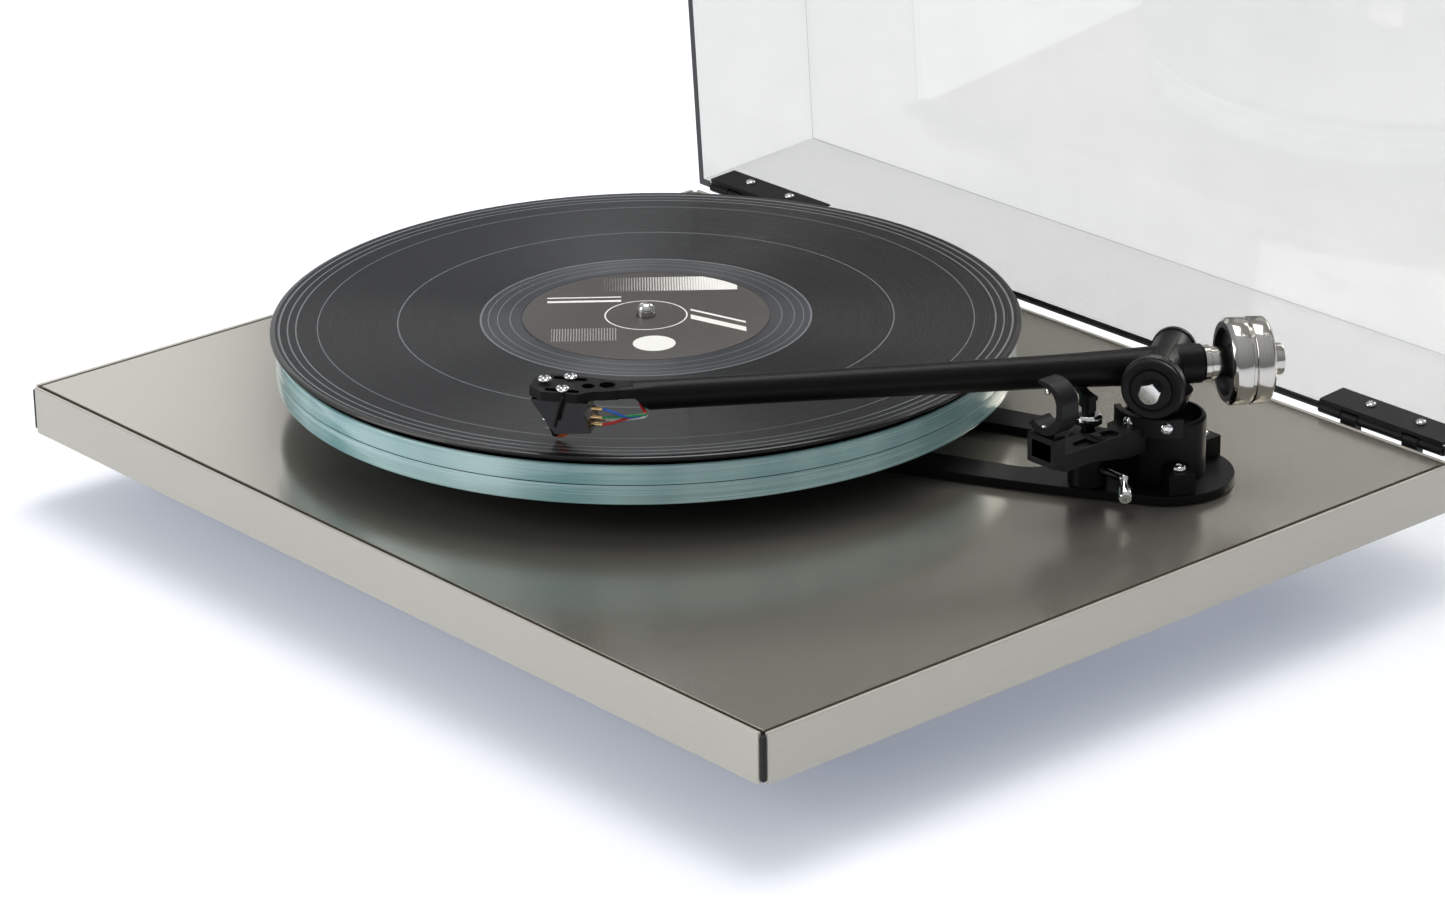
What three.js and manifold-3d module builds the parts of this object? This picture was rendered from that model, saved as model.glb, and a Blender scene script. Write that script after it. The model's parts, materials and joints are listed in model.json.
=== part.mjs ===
// A belt-driven record player: a thin plinth on three feet, a two-pane glass platter with a felt mat
// and a record, a straight tonearm with cartridge, counterweight, lift and rest, and a hinged clear lid.
// Millimetres, +Z up, +X to the right, +Y to the back. The lid stands open at rest.
import * as THREE from 'three';
import { mergeVertices } from 'three/addons/utils/BufferGeometryUtils.js';
import Module from 'manifold-3d';

const wasm = await Module();
wasm.setup();

// ---------------------------------------------------------------- driving dimensions
const GAP = 0.3; // running and resting clearance between neighbours
const PLINTH = { width: 448, depth: 358.7, thick: 20, top: 49, skin: 1.2, trim: 1.6, seam: 1.2 };
const FOOT = { radius: 18, frontX: 160, frontY: -114, rearY: 132 };
const SPINDLE = { x: -44, y: -2.5, radius: 3.55, top: 40 };
const BRACE = { thick: 3.7, lowerThick: 2.4, armEnd: 27.8, waist: 36, bearingEnd: 30 };
const GLASS = { radius: 148.5, bottom: 14.5, pane: 7.85, hub: 12.3 };
const MAT = { radius: 146, thick: 1.7 };
const RECORD = { radius: 150.8, thick: 1.9, label: 50, hole: 3.9 };
const SUBPLATTER = { radius: 64, bottom: 6, groove: 1.6 };
const MOTOR = { x: -106, y: 59.5, radius: 27, pulley: 10 };
const BELT = { radius: 1.3, height: 9.6 };
const PIVOT = { x: 158.3, y: 85.6, height: 47.2 }; // where the two tonearm axes cross
const ARM = { angle: 239, tilt: 1.2, offset: -22.5, bearing: -26, reach: 233.9, side: -5.5 };
const DRUM = { radius: 16.4, top: 28, wall: 1.8, recess: 6 };
const LUG_ANGLES = [330, 90, 210];
const REST = { x: 156.7, y: 26, height: 45.7, inner: 6.95, outer: 10.2, crown: 2.6, length: 9, lip: 224 };
const REST_SEAT = 35.2;
const LIFT = { x: 148.4, y: 54.4, radius: 7.6, arc: 32.7 };
const LID = { width: 448, depth: 361.5, height: 70, wall: 3.2, back: 183.05, rim: 0.7, open: 86.5 };
const HINGE = { y: 182.9, z: 1.6, x: 184, length: 64 };
const LID_REAR = 251.89; // rear-most point of the open lid
const FRAME_Y = (LID_REAR - PLINTH.depth / 2) / 2; // middle of the whole object, front to back

const UNDER = -PLINTH.thick; // the plinth's underside, measured from its top face
const BORE = { bearing: 12.4, arm: 11.6 }; // radii of the holes for the main bearing and the tonearm base

// ---------------------------------------------------------------- materials
const finish = (color, roughness, metalness = 0, opacity = 1) =>
  new THREE.MeshStandardMaterial({ color, roughness, metalness, opacity, transparent: opacity < 1 });
const satinBlack = finish(0x1b1b1c, 0.5);
const mouldedBlack = finish(0x202123, 0.55);
const darkCore = finish(0x141414, 0.8);
const brushedSkin = finish(0x837f75, 0.35, 0.6);
const satinTrim = finish(0xb9b8b0, 0.45, 0.4);
const rubber = finish(0x1a1a1a, 0.9);
const steel = finish(0xc9c7c2, 0.25, 1);
const chrome = finish(0xe2e2e2, 0.08, 1);
const brass = finish(0xc9a35a, 0.3, 1);
const glass = finish(0x8fc4c0, 0.15, 0, 0.6);
const felt = finish(0x0e0e0f, 0.95);
const vinyl = finish(0x1b1c1e, 0.25);
const labelPaper = finish(0x5a5450, 0.7);
const acrylic = finish(0xf2f2ee, 0.1, 0, 0.2);
const amber = finish(0xd2581c, 0.4);
const wire = finish(0x2f8f3a, 0.5);

// ---------------------------------------------------------------- geometry helpers
const rad = THREE.MathUtils.degToRad;

function solidOf(geometry) {
  const bare = geometry.clone();
  bare.deleteAttribute('normal');
  bare.deleteAttribute('uv');
  const merged = mergeVertices(bare, 1e-5);
  const vertProperties = new Float32Array(merged.attributes.position.array);
  const triVerts = new Uint32Array(merged.index.array);
  return new wasm.Manifold(new wasm.Mesh({ numProp: 3, vertProperties, triVerts }));
}

function geometryOf(solid) {
  const mesh = solid.getMesh();
  const geometry = new THREE.BufferGeometry();
  geometry.setAttribute('position', new THREE.BufferAttribute(new Float32Array(mesh.vertProperties), 3));
  geometry.setIndex(new THREE.BufferAttribute(new Uint32Array(mesh.triVerts), 1));
  geometry.computeVertexNormals();
  return geometry;
}

const join = (first, ...others) =>
  geometryOf(others.reduce((whole, next) => whole.add(solidOf(next)), solidOf(first)));
const cut = (body, ...tools) =>
  geometryOf(tools.reduce((whole, next) => whole.subtract(solidOf(next)), solidOf(body)));

// A box from its lowest to its highest corner.
function block(x0, x1, y0, y1, z0, z1) {
  const geometry = new THREE.BoxGeometry(x1 - x0, y1 - y0, z1 - z0);
  return geometry.translate((x0 + x1) / 2, (y0 + y1) / 2, (z0 + z1) / 2);
}

// An upright cylinder, or a cone when the top radius is given.
function upright(radius, z0, z1, x = 0, y = 0, sides = 28, topRadius = radius) {
  const geometry = new THREE.CylinderGeometry(topRadius, radius, z1 - z0, sides);
  return geometry.rotateX(Math.PI / 2).translate(x, y, (z0 + z1) / 2);
}

// A turned solid about Z: points are [radius, height] from axis to axis, or a closed ring.
function turned(points, sides = 32) {
  const profile = points.map(([r, z]) => new THREE.Vector2(r, z));
  return new THREE.LatheGeometry(profile, sides).rotateX(Math.PI / 2);
}

// A flat-sided ring or disc with a square section.
const ring = (inner, outer, z0, z1, sides = 60) =>
  turned([[inner, z0], [outer, z0], [outer, z1], [inner, z1], [inner, z0]], sides);

function plate(shape, z0, z1, curveSegments = 10) {
  const geometry = new THREE.ExtrudeGeometry(shape, { depth: z1 - z0, bevelEnabled: false, curveSegments });
  return geometry.translate(0, 0, z0);
}

function outline(points) {
  return new THREE.Shape(points.map(([x, y]) => new THREE.Vector2(x, y)));
}

// A round rod along a list of points, as one extruded curve.
function rod(points, radius, steps = 12, sides = 10, tension = 0.5) {
  const stops = points.map((p) => new THREE.Vector3(...p));
  const path = new THREE.CatmullRomCurve3(stops, false, 'catmullrom', tension);
  const section = new THREE.Shape().absarc(0, 0, radius, 0, 2 * Math.PI);
  return new THREE.ExtrudeGeometry(section, { extrudePath: path, steps, curveSegments: sides });
}

// A sector of a ring, seen from above, between two angles in degrees.
function sector(inner, outer, from, to, z0, z1, x = 0, y = 0) {
  const shape = new THREE.Shape();
  shape.absarc(x, y, outer, rad(from), rad(to), false);
  shape.absarc(x, y, inner, rad(to), rad(from), true);
  return plate(shape, z0, z1, 12);
}

// A slot-shaped outline between two points.
function stadium(x0, y0, x1, y1, radius, kind = THREE.Shape) {
  const along = Math.atan2(y1 - y0, x1 - x0);
  const shape = new kind();
  shape.absarc(x1, y1, radius, along - Math.PI / 2, along + Math.PI / 2, false);
  shape.absarc(x0, y0, radius, along + Math.PI / 2, along + 1.5 * Math.PI, false);
  shape.closePath();
  return shape;
}

const polar = (radius, angle) => [radius * Math.cos(rad(angle)), radius * Math.sin(rad(angle))];

// ---------------------------------------------------------------- scene graph
const player = new THREE.Group();
const deck = new THREE.Group(); // origin in the middle of the plinth's top face
deck.position.set(0, -FRAME_Y, PLINTH.top);
player.add(deck);

function part(name, geometry, material, parent = deck) {
  const mesh = new THREE.Mesh(geometry, material);
  mesh.name = name;
  parent.add(mesh);
  return mesh;
}

function frameAt(parent, x, y, z, turn = 0) {
  const group = new THREE.Group();
  group.position.set(x, y, z);
  group.rotation.z = rad(turn);
  parent.add(group);
  return group;
}

// ---------------------------------------------------------------- plinth, feet and braces
function addPlinth() {
  const halfW = PLINTH.width / 2;
  const halfD = PLINTH.depth / 2;
  const inset = PLINTH.trim + GAP;
  const corner = 2.5; // the core's dark corner post shows between two trims
  const skinInset = inset + PLINTH.seam;
  const coreTop = -PLINTH.skin - GAP;
  const coreBottom = UNDER + PLINTH.skin + GAP;

  const bores = (z0, z1) => [
    upright(BORE.bearing, z0, z1, SPINDLE.x, SPINDLE.y, 24),
    upright(MOTOR.radius + 1.5, z0, z1, MOTOR.x, MOTOR.y, 32),
    upright(BORE.arm, z0, z1, PIVOT.x, PIVOT.y, 24),
  ];
  const reach = [halfW - 0.5, halfD - 0.5]; // outer faces of the corner posts
  const side = [halfW - inset, halfD - inset];
  const step = [halfW - corner + GAP, halfD - corner + GAP];
  const post = ([sx, sy]) => [
    [side[0], step[1]], [reach[0], step[1]], [reach[0], reach[1]], [step[0], reach[1]], [step[0], side[1]],
  ].map(([x, y]) => [sx * x, sy * y]);
  const rim = [
    ...post([1, 1]), ...post([-1, 1]).reverse(), ...post([-1, -1]), ...post([1, -1]).reverse(),
  ];
  const body = plate(outline(rim), coreBottom, coreTop);
  part('plinth_core', cut(body, ...bores(UNDER - 1, 1)), darkCore);

  const skin = (z0, z1) => cut(
    block(-halfW + skinInset, halfW - skinInset, -halfD + skinInset, halfD - skinInset, z0, z1),
    ...bores(z0 - 1, z1 + 1),
  );
  part('plinth_top_skin', skin(-PLINTH.skin, 0), brushedSkin);
  part('plinth_bottom_skin', skin(UNDER, UNDER + PLINTH.skin), satinBlack);

  const endX = halfW - corner;
  const endY = halfD - corner;
  part('edge_trim_front', block(-endX, endX, -halfD, -halfD + PLINTH.trim, UNDER, 0), satinTrim);
  part('edge_trim_back', block(-endX, endX, halfD - PLINTH.trim, halfD, UNDER, 0), satinTrim);
  part('edge_trim_right', block(halfW - PLINTH.trim, halfW, -endY, endY, UNDER, 0), satinTrim);
  part('edge_trim_left', block(-halfW, -halfW + PLINTH.trim, -endY, endY, UNDER, 0), satinTrim);
}

function addFeet() {
  const top = UNDER - GAP;
  const floor = -PLINTH.top;
  const { radius } = FOOT;
  const foot = (x, y) => turned([
    [0, floor], [radius - 4, floor], [radius - 2.5, floor + 1.5], [radius - 2.5, floor + 6],
    [radius, floor + 8], [radius, top - 2], [radius - 2, top], [0, top],
  ], 28).translate(x, y, 0);
  part('foot_front_left', foot(-FOOT.frontX, FOOT.frontY), rubber);
  part('foot_front_right', foot(FOOT.frontX, FOOT.frontY), rubber);
  part('foot_rear', foot(0, FOOT.rearY), rubber);
}

// The stressed beam between the main bearing and the tonearm, above and below the plinth.
function braceShape() {
  const reach = Math.hypot(PIVOT.x - SPINDLE.x, PIVOT.y - SPINDLE.y);
  const shape = new THREE.Shape();
  shape.moveTo(reach, BRACE.armEnd);
  shape.quadraticCurveTo(reach - 60, BRACE.waist, reach - 120, BRACE.waist);
  shape.quadraticCurveTo(60, BRACE.waist, 0, BRACE.bearingEnd);
  shape.absarc(0, 0, BRACE.bearingEnd, Math.PI / 2, 1.5 * Math.PI, false);
  shape.quadraticCurveTo(60, -BRACE.waist, reach - 120, -BRACE.waist);
  shape.quadraticCurveTo(reach - 60, -BRACE.waist, reach, -BRACE.armEnd);
  shape.absarc(reach, 0, BRACE.armEnd, -Math.PI / 2, Math.PI / 2, false);
  shape.holes.push(stadium(119, 0, reach - 54.5, 0, 18.5, THREE.Path));
  return shape;
}

function addBraces() {
  const turn = THREE.MathUtils.radToDeg(Math.atan2(PIVOT.y - SPINDLE.y, PIVOT.x - SPINDLE.x));
  const reach = Math.hypot(PIVOT.x - SPINDLE.x, PIVOT.y - SPINDLE.y);
  const line = frameAt(deck, SPINDLE.x, SPINDLE.y, 0, turn);
  const top = plate(braceShape(), GAP, GAP + BRACE.thick, 9);
  const bores = (z0, z1) => [upright(BORE.bearing, z0, z1), upright(BORE.arm, z0, z1, reach, 0)];
  part('top_brace', cut(top, ...bores(-1, 9)), satinBlack, line);
  const low = UNDER - GAP;
  const bottom = plate(braceShape(), low - BRACE.lowerThick, low, 9);
  part('bottom_brace', cut(bottom, ...bores(low - 9, low + 1)), satinTrim, line);
}

// ---------------------------------------------------------------- platter and drive
function addPlatter() {
  const axis = frameAt(deck, SPINDLE.x, SPINDLE.y, 0);
  const braceTop = GAP + BRACE.thick;
  part('main_bearing_housing', turned([
    [0, -44], [9, -44], [11, -42], [11, braceTop + GAP], [17, braceTop + GAP], [17, braceTop + 1.6],
    [6.2, braceTop + 1.6], [6.2, -38], [0, -38],
  ], 28), brass, axis);
  part('centre_spindle', turned([
    [0, -37.6], [4, -37.6], [5.6, -36], [5.6, 20], [SPINDLE.radius, 20.4],
    [SPINDLE.radius, SPINDLE.top - 2.4], [2.2, SPINDLE.top - 0.4], [0, SPINDLE.top],
  ], 24), chrome, axis);

  const { radius, bottom, groove } = SUBPLATTER;
  const top = GLASS.bottom - GAP;
  const beltAt = BELT.height;
  part('subplatter', turned([
    [5.9, bottom], [20, bottom], [22, 7.4], [radius, 7.4], [radius, beltAt - groove],
    [radius - groove, beltAt], [radius, beltAt + groove], [radius, top],
    [12, top], [12, GLASS.bottom + 6.6], [5.9, GLASS.bottom + 6.6], [5.9, bottom],
  ], 40), satinBlack, axis);

  const paneTop = GLASS.bottom + GLASS.pane;
  part('platter_glass_lower', ring(GLASS.hub, GLASS.radius, GLASS.bottom, paneTop), glass, axis);
  const upperTop = paneTop + GAP + GLASS.pane;
  part('platter_glass_upper', ring(4.2, GLASS.radius, paneTop + GAP, upperTop), glass, axis);
  const matTop = upperTop + GAP + MAT.thick;
  part('platter_mat', ring(4.2, MAT.radius, upperTop + GAP, matTop), felt, axis);

  const low = matTop + GAP;
  const high = low + RECORD.thick;
  const rim = RECORD.radius;
  part('record', turned([
    [RECORD.hole, low], [rim - 2, low], [rim, low + RECORD.thick / 2], [rim - 2, high],
    [rim - 5, high - 0.25], [RECORD.label + 4, high - 0.25], [RECORD.label, high],
    [RECORD.label, high - 0.6], [RECORD.hole, high - 0.6], [RECORD.hole, low],
  ], 54), vinyl, axis);
  part('record_label', ring(RECORD.hole, RECORD.label - GAP, high - 0.3, high, 40), labelPaper, axis);
}

function addDrive() {
  const axis = frameAt(deck, MOTOR.x, MOTOR.y, 0);
  part('motor_body', turned([
    [0, -40], [MOTOR.radius - 2, -40], [MOTOR.radius, -38], [MOTOR.radius, -6], [MOTOR.radius - 2, -4],
    [9, -4], [9, -1.5], [2.4, -1.5], [2.4, -12], [0, -12],
  ], 32), steel, axis);
  const { pulley } = MOTOR;
  const beltAt = BELT.height;
  part('motor_pulley', turned([
    [0, -11.6], [1.6, -11.6], [1.6, 3], [pulley, 3], [pulley, beltAt - 1.6], [pulley - 1.6, beltAt],
    [pulley, beltAt + 1.6], [pulley, 13.4], [0, 13.4],
  ], 28), steel, axis);
  addBelt();
}

// The belt is a round cord: an arc on the subplatter, an arc on the pulley and two straight runs.
function addBelt() {
  const far = Math.hypot(MOTOR.x - SPINDLE.x, MOTOR.y - SPINDLE.y);
  const turn = Math.atan2(MOTOR.y - SPINDLE.y, MOTOR.x - SPINDLE.x);
  const sit = BELT.radius + GAP;
  const big = SUBPLATTER.radius + sit - SUBPLATTER.groove * 0.2;
  const small = MOTOR.pulley + sit - SUBPLATTER.groove * 0.2;
  const wrap = Math.acos((big - small) / far);
  const loop = (offset) => {
    const shape = new THREE.Path();
    shape.absarc(far, 0, small + offset, -wrap, wrap, false);
    shape.absarc(0, 0, big + offset, wrap, 2 * Math.PI - wrap, false);
    shape.closePath();
    return shape;
  };
  const shape = new THREE.Shape(loop(BELT.radius).getPoints(14));
  shape.holes.push(new THREE.Path(loop(-BELT.radius).getPoints(14)));
  const belt = plate(shape, BELT.height - BELT.radius, BELT.height + BELT.radius);
  belt.rotateZ(turn).translate(SPINDLE.x, SPINDLE.y, 0);
  part('drive_belt', belt, rubber);
}

// ---------------------------------------------------------------- tonearm base, lift and rest
function addArmBase() {
  const seat = GAP + BRACE.thick + GAP;
  const { radius, top, wall, recess } = DRUM;
  const drum = turned([
    [4.9, UNDER - 12], [11, UNDER - 12], [11, seat], [radius, seat], [radius, top - 1], [radius - 1, top],
    [radius - wall, top], [radius - wall, top - recess], [4.9, top - recess], [4.9, UNDER - 12],
  ], 32);
  const lugs = LUG_ANGLES.map((angle) =>
    block(radius - 2, 26.8, -5.2, 5.2, seat, seat + 8.3).rotateZ(rad(angle)));
  const holes = LUG_ANGLES.map((angle) => {
    const [x, y] = polar(21.4, angle);
    return upright(1.9, seat - 1, seat + 10, x, y, 12);
  });
  const axis = frameAt(deck, PIVOT.x, PIVOT.y, 0);
  part('arm_base', cut(join(drum, ...lugs), ...holes), satinBlack, axis);
  LUG_ANGLES.forEach((angle, i) => {
    const [x, y] = polar(21.4, angle);
    const screw = turned([
      [0, seat + 1], [1.6, seat + 1], [1.6, seat + 8.6], [2.9, seat + 8.6], [2.9, seat + 9.6],
      [2.1, seat + 10.8], [0, seat + 10.8],
    ], 16).translate(x, y, 0);
    part(`base_screw_${i + 1}`, screw, chrome, axis);
  });
  part('signal_cable_gland', turned([
    [0, UNDER - 17], [8, UNDER - 17], [8, UNDER - 12.3], [0, UNDER - 12.3],
  ], 20), rubber, axis);
}

// A collar on the drum, an outrigger towards the front, and the open square that holds the rest clip.
function addRestCarrier() {
  const { radius } = DRUM;
  const collar = sector(radius + GAP, radius + 2.9, 232, 336, 24.5, 32, PIVOT.x, PIVOT.y);
  const bar = outline([[151.5, 73], [151.5, 26], [164.2, 26], [164.2, 70.5]]);
  const outrigger = plate(bar, 21.4, 28);
  const gusset = new THREE.ExtrudeGeometry(outline([[40, 21.6], [72, 21.6], [72, 17.5], [60, 17.8]]),
    { depth: 12.7, bevelEnabled: false });
  gusset.rotateX(Math.PI / 2).rotateZ(Math.PI / 2).translate(151.5, 0, 0);
  const frame = cut(block(149.6, 164.2, 20.8, 26.2, 23.6, REST_SEAT), block(151.9, 162, 20, 28, 26, 33));
  const clear = upright(radius + GAP, 10, 40, PIVOT.x, PIVOT.y, 36);
  const slot = plate(stadium(159.9, 39, 159.9, 55, 3.1), 26.6, 29);
  const liftHole = upright(LIFT.radius + GAP, 10, 40, LIFT.x, LIFT.y);
  part('rest_carrier', cut(join(collar, outrigger, gusset, frame), clear, slot, liftHole), mouldedBlack);
  const slider = join(block(157.1, 162.7, 44.5, 49.5, 26.9, 28.3), block(157.7, 162.1, 45.6, 48.4, 28, 29.8));
  part('bias_slider', slider, satinBlack);
}

// The clip is an open C, a little taller than it is wide, that takes the tube from the left.
function addRestClip() {
  const { inner, outer, crown, length, lip } = REST;
  const c = new THREE.Shape();
  c.moveTo(-2.6, crown + inner);
  c.lineTo(0, crown + inner);
  c.absarc(0, crown, inner, rad(90), 0, true);
  c.absarc(0, 0, inner, 0, rad(lip), true);
  c.absarc(0, 0, outer, rad(lip), rad(360), false);
  c.absellipse(0, crown, outer, inner + 2, 0, rad(90), false);
  c.lineTo(-2.6, crown + inner + 1.8);
  c.closePath();
  const clip = new THREE.ExtrudeGeometry(c, { depth: length, bevelEnabled: false, curveSegments: 12 });
  clip.rotateX(Math.PI / 2).translate(0, length / 2, 0);
  const heel = block(-4.4, 6, -length / 2 + 0.6, length / 2 - 0.6, REST_SEAT + GAP - REST.height, -outer + 2);
  const rest = frameAt(deck, REST.x, REST.y, REST.height);
  part('rest_clip', join(clip, heel), mouldedBlack, rest);
}

function addLift() {
  const seat = GAP + BRACE.thick + GAP;
  const axis = frameAt(deck, LIFT.x, LIFT.y, 0);
  const housing = cut(
    turned([
      [0, seat], [LIFT.radius - 1, seat], [LIFT.radius, seat + 1], [LIFT.radius, 24],
      [LIFT.radius - 1.4, 26], [3, 26], [3, 17], [0, 17],
    ], 28),
    new THREE.CylinderGeometry(1.7, 1.7, 20, 14).rotateZ(Math.PI / 2).translate(11.5, 0, 12),
  );
  part('lift_housing', housing, satinBlack, axis);

  const [dx, dy] = [PIVOT.x - LIFT.x, PIVOT.y - LIFT.y];
  const arc = sector(LIFT.arc - 2, LIFT.arc + 2, 226, 259, 39.2, 40.8, dx, dy);
  const web = sector(LIFT.arc - 1.6, LIFT.arc + 1.6, 243, 258, 34.6, 39.4, dx, dy);
  const stem = upright(2.6, 17.5, 39.8, 0, 0, 16);
  const cap = upright(5.4, 29.4, 32.2, 0, 0, 20);
  part('lift_platform', join(arc, web, stem, cap), satinBlack, axis);

  const shaft = rod([[2, 0, 12], [10, 0, 12], [19.2, 0, 12]], 1.3, 1, 10);
  const elbow = new THREE.SphereGeometry(2, 10, 8).translate(19.4, 0, 12);
  const handle = rod([[19.4, 0, 12], [22.4, -3, 10.6], [25.6, -6, 9.2]], 1.7, 2, 10);
  const ball = new THREE.SphereGeometry(2.9, 12, 8).translate(25.4, -5.8, 9.3);
  part('lift_lever', join(shaft, elbow, handle, ball), chrome, axis);
}

// ---------------------------------------------------------------- tonearm
function addTonearm() {
  const swing = frameAt(deck, PIVOT.x, PIVOT.y, PIVOT.height, ARM.angle);
  const bearing = frameAt(swing, 0, 0, 0, ARM.bearing); // Y runs along the arm's cross bearing
  const alongY = (radius, y0, y1, sides = 24, topRadius = radius) => {
    const geometry = new THREE.CylinderGeometry(topRadius, radius, y1 - y0, sides);
    return geometry.translate(0, (y0 + y1) / 2, 0);
  };

  // The yoke turns in the drum and carries the cross spindle through a slot under the arm.
  const down = -PIVOT.height;
  const post = upright(4.6, down + UNDER - 8, down + 30, 0, 0, 24);
  const funnel = upright(5.5, down + 22.6, down + 37.6, 0, 0, 28, 11);
  const neck = block(-3.4, 3.4, -3.6, 3.6, down + 34, 4.4);
  part('arm_yoke', cut(join(post, funnel, neck), alongY(2.3, -20, 20, 16)), satinBlack, bearing);
  const nut = new THREE.CylinderGeometry(2.2, 4.4, 4, 6).translate(0, 31.9, 0);
  const nutFoot = new THREE.CylinderGeometry(4.4, 4.4, 2.6, 6).translate(0, 29.1, 0);
  part('bearing_cross_spindle', join(alongY(2, -12, 28.4, 16), nutFoot, nut), chrome, bearing);

  const dialProfile = turned([
    [2.4, 20.9], [12.4, 20.9], [12.4, 24.9], [11.7, 24.9], [11.7, 27.1], [8.7, 27.1],
    [8.7, 26.3], [7.9, 26.3], [7.9, 27.5], [2.4, 27.5], [2.4, 20.9],
  ], 30).rotateX(-Math.PI / 2);
  part('tracking_dial', dialProfile, satinBlack, bearing);

  const tilted = new THREE.Group(); // the arm rises a little towards the head, about the bearing axis
  tilted.rotation.y = -rad(ARM.tilt);
  swing.add(tilted);
  const alongX = (points, sides = 32) => turned(points, sides).rotateY(Math.PI / 2);
  const tube = alongX([
    [0, -14.3], [7.7, -14.3], [7.7, 2], [7, 20], [6.4, 47], [5.8, 139], [5.7, 206], [0, 206],
  ]);
  const boss = alongY(8.2, -17, 20.6, 32).rotateZ(rad(ARM.bearing));
  const farCap = alongY(8.8, -19.6, -16.8, 32).rotateZ(rad(ARM.bearing));
  const mouth = outline([[198, -8], [198.6, -6.2], [205.6, 0.8], [212, 0.8], [212, -8]]);
  const under = new THREE.ExtrudeGeometry(mouth, { depth: 24, bevelEnabled: false })
    .rotateX(Math.PI / 2).translate(0, 12, 0);

  const head = (shape, z0, z1) => plate(shape, z0, z1, 7)
    .rotateZ(rad(ARM.offset)).translate(ARM.reach, ARM.side, 0);
  const slots = [-6.35, 6.35].map((g) => head(stadium(-9, g, 1.4, g, 1.5), 0, 7));
  const round = (f, g, r) => head(new THREE.Shape().absarc(f, g, r, 0, 2 * Math.PI), 0, 7);
  const solid = join(tube, boss, farCap);
  const arm = cut(solid, under);
  const neckSlot = block(-5.3, 5.3, -5, 5, -12, 5.6).rotateZ(rad(ARM.bearing));
  const bore = alongY(2.4, -13, 24, 16).rotateZ(rad(ARM.bearing));
  const whole = join(arm, head(headshellShape(), 0.9, 4.5));
  const leadBore = alongX([[0, 198], [1.5, 198], [1.5, 207], [0, 207]], 12).translate(0, 0, -1);
  const stubBore = alongX([[0, -16], [4, -16], [4, -8], [0, -8]], 16);
  const holes = [round(4.4, 0, 1.4), round(-12.2, -0.4, 2.4), round(-18.9, -3.1, 3)];
  const casting = cut(whole, neckSlot, bore, stubBore, leadBore, ...slots, ...holes);
  part('arm_tube', casting, satinBlack, tilted);

  part('counterweight_stub', alongX([[0, -46.2], [5.2, -46.2], [6.2, -45.2], [6.2, -17.2], [7, -17.2],
    [7, -14.6], [3.7, -14.6], [3.7, -8.6], [0, -8.6]]), steel, tilted);
  part('counterweight', alongX([
    [6.5, -39.8], [15.7, -39.8], [17, -38.5], [17, -32.4], [16.2, -32], [16.2, -31], [17, -30.6],
    [17, -24.6], [15.4, -23], [13.2, -23], [13.2, -25.8], [6.5, -25.8], [6.5, -39.8],
  ], 32), steel, tilted);
  addCartridge(tilted);
}

// Plan outline of the headshell: chamfered nose, straight sides, then a waist that runs into the tube.
function headshellShape() {
  const shape = outline([[9.2, -4.6], [9.2, 4.6], [3.6, 9.4], [-9.3, 9.4]]);
  shape.bezierCurveTo(-12, 9.4, -13, 4.6, -19, 3.9);
  shape.lineTo(-35.7, -2.6);
  shape.lineTo(-31.6, -12.9);
  shape.lineTo(-24, -9.2);
  shape.bezierCurveTo(-18, -7.8, -14, -9.4, -9.3, -9.4);
  shape.lineTo(3.6, -9.4);
  shape.closePath();
  return shape;
}

function addCartridge(arm) {
  const head = frameAt(arm, ARM.reach, ARM.side, 0, ARM.offset);
  const side = (points, width) => {
    const geometry = new THREE.ExtrudeGeometry(outline(points), { depth: width, bevelEnabled: false });
    return geometry.rotateX(Math.PI / 2).translate(0, width / 2, 0);
  };
  const top = 0.6;
  const wedge = side([
    [7.8, top], [7.6, -0.4], [-1.4, -12.7], [-15.2, -11.2], [-12, -3], [-13.8, -2], [-13.8, top],
  ], 15.6);
  const nose = side([[6.4, -2.4], [0.8, -15.8], [-0.9, -15.8], [-0.9, -10]], 5.2);
  const body = join(wedge, nose);
  const screwHoles = [[4.4, 0], [-4, -6.35], [-4, 6.35]];
  const drilled = cut(body, ...screwHoles.map(([x, y]) => upright(1.3, -5, 2, x, y, 12)));
  part('cartridge_body', drilled, mouldedBlack, head);
  screwHoles.forEach(([x, y], i) => {
    const lift = i === 0 ? 0.8 : 0;
    const screw = turned([
      [0, -4.4], [1, -4.4], [1, 4.8 + lift], [2.6, 4.8 + lift], [2.7, 5.6 + lift],
      [1.9, 6.8 + lift], [0, 6.8 + lift],
    ], 14).translate(x, y, 0);
    part(`headshell_screw_${i + 1}`, screw, chrome, head);
  });
  const stylus = join(
    side([[-1.2, -13.1], [-5, -12.8], [-5, -15], [-3, -16.1], [-1.2, -16.1]], 4),
    side([[-3, -16.1], [-2.4, -15.6], [-1.2, -16], [0.3, -16.7], [0, -17.1], [-0.6, -16.9]], 0.9),
  );
  part('stylus_assembly', stylus, amber, head);
  const finger = rod([[-5, 10.5, 2.9], [-4.8, 11.2, 2], [-3.8, 11.4, -1.6], [-2.2, 11.4, -8.2]], 0.75, 8, 7);
  part('finger_lift', finger, satinBlack, head);
  addLeads(head);
}

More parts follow.
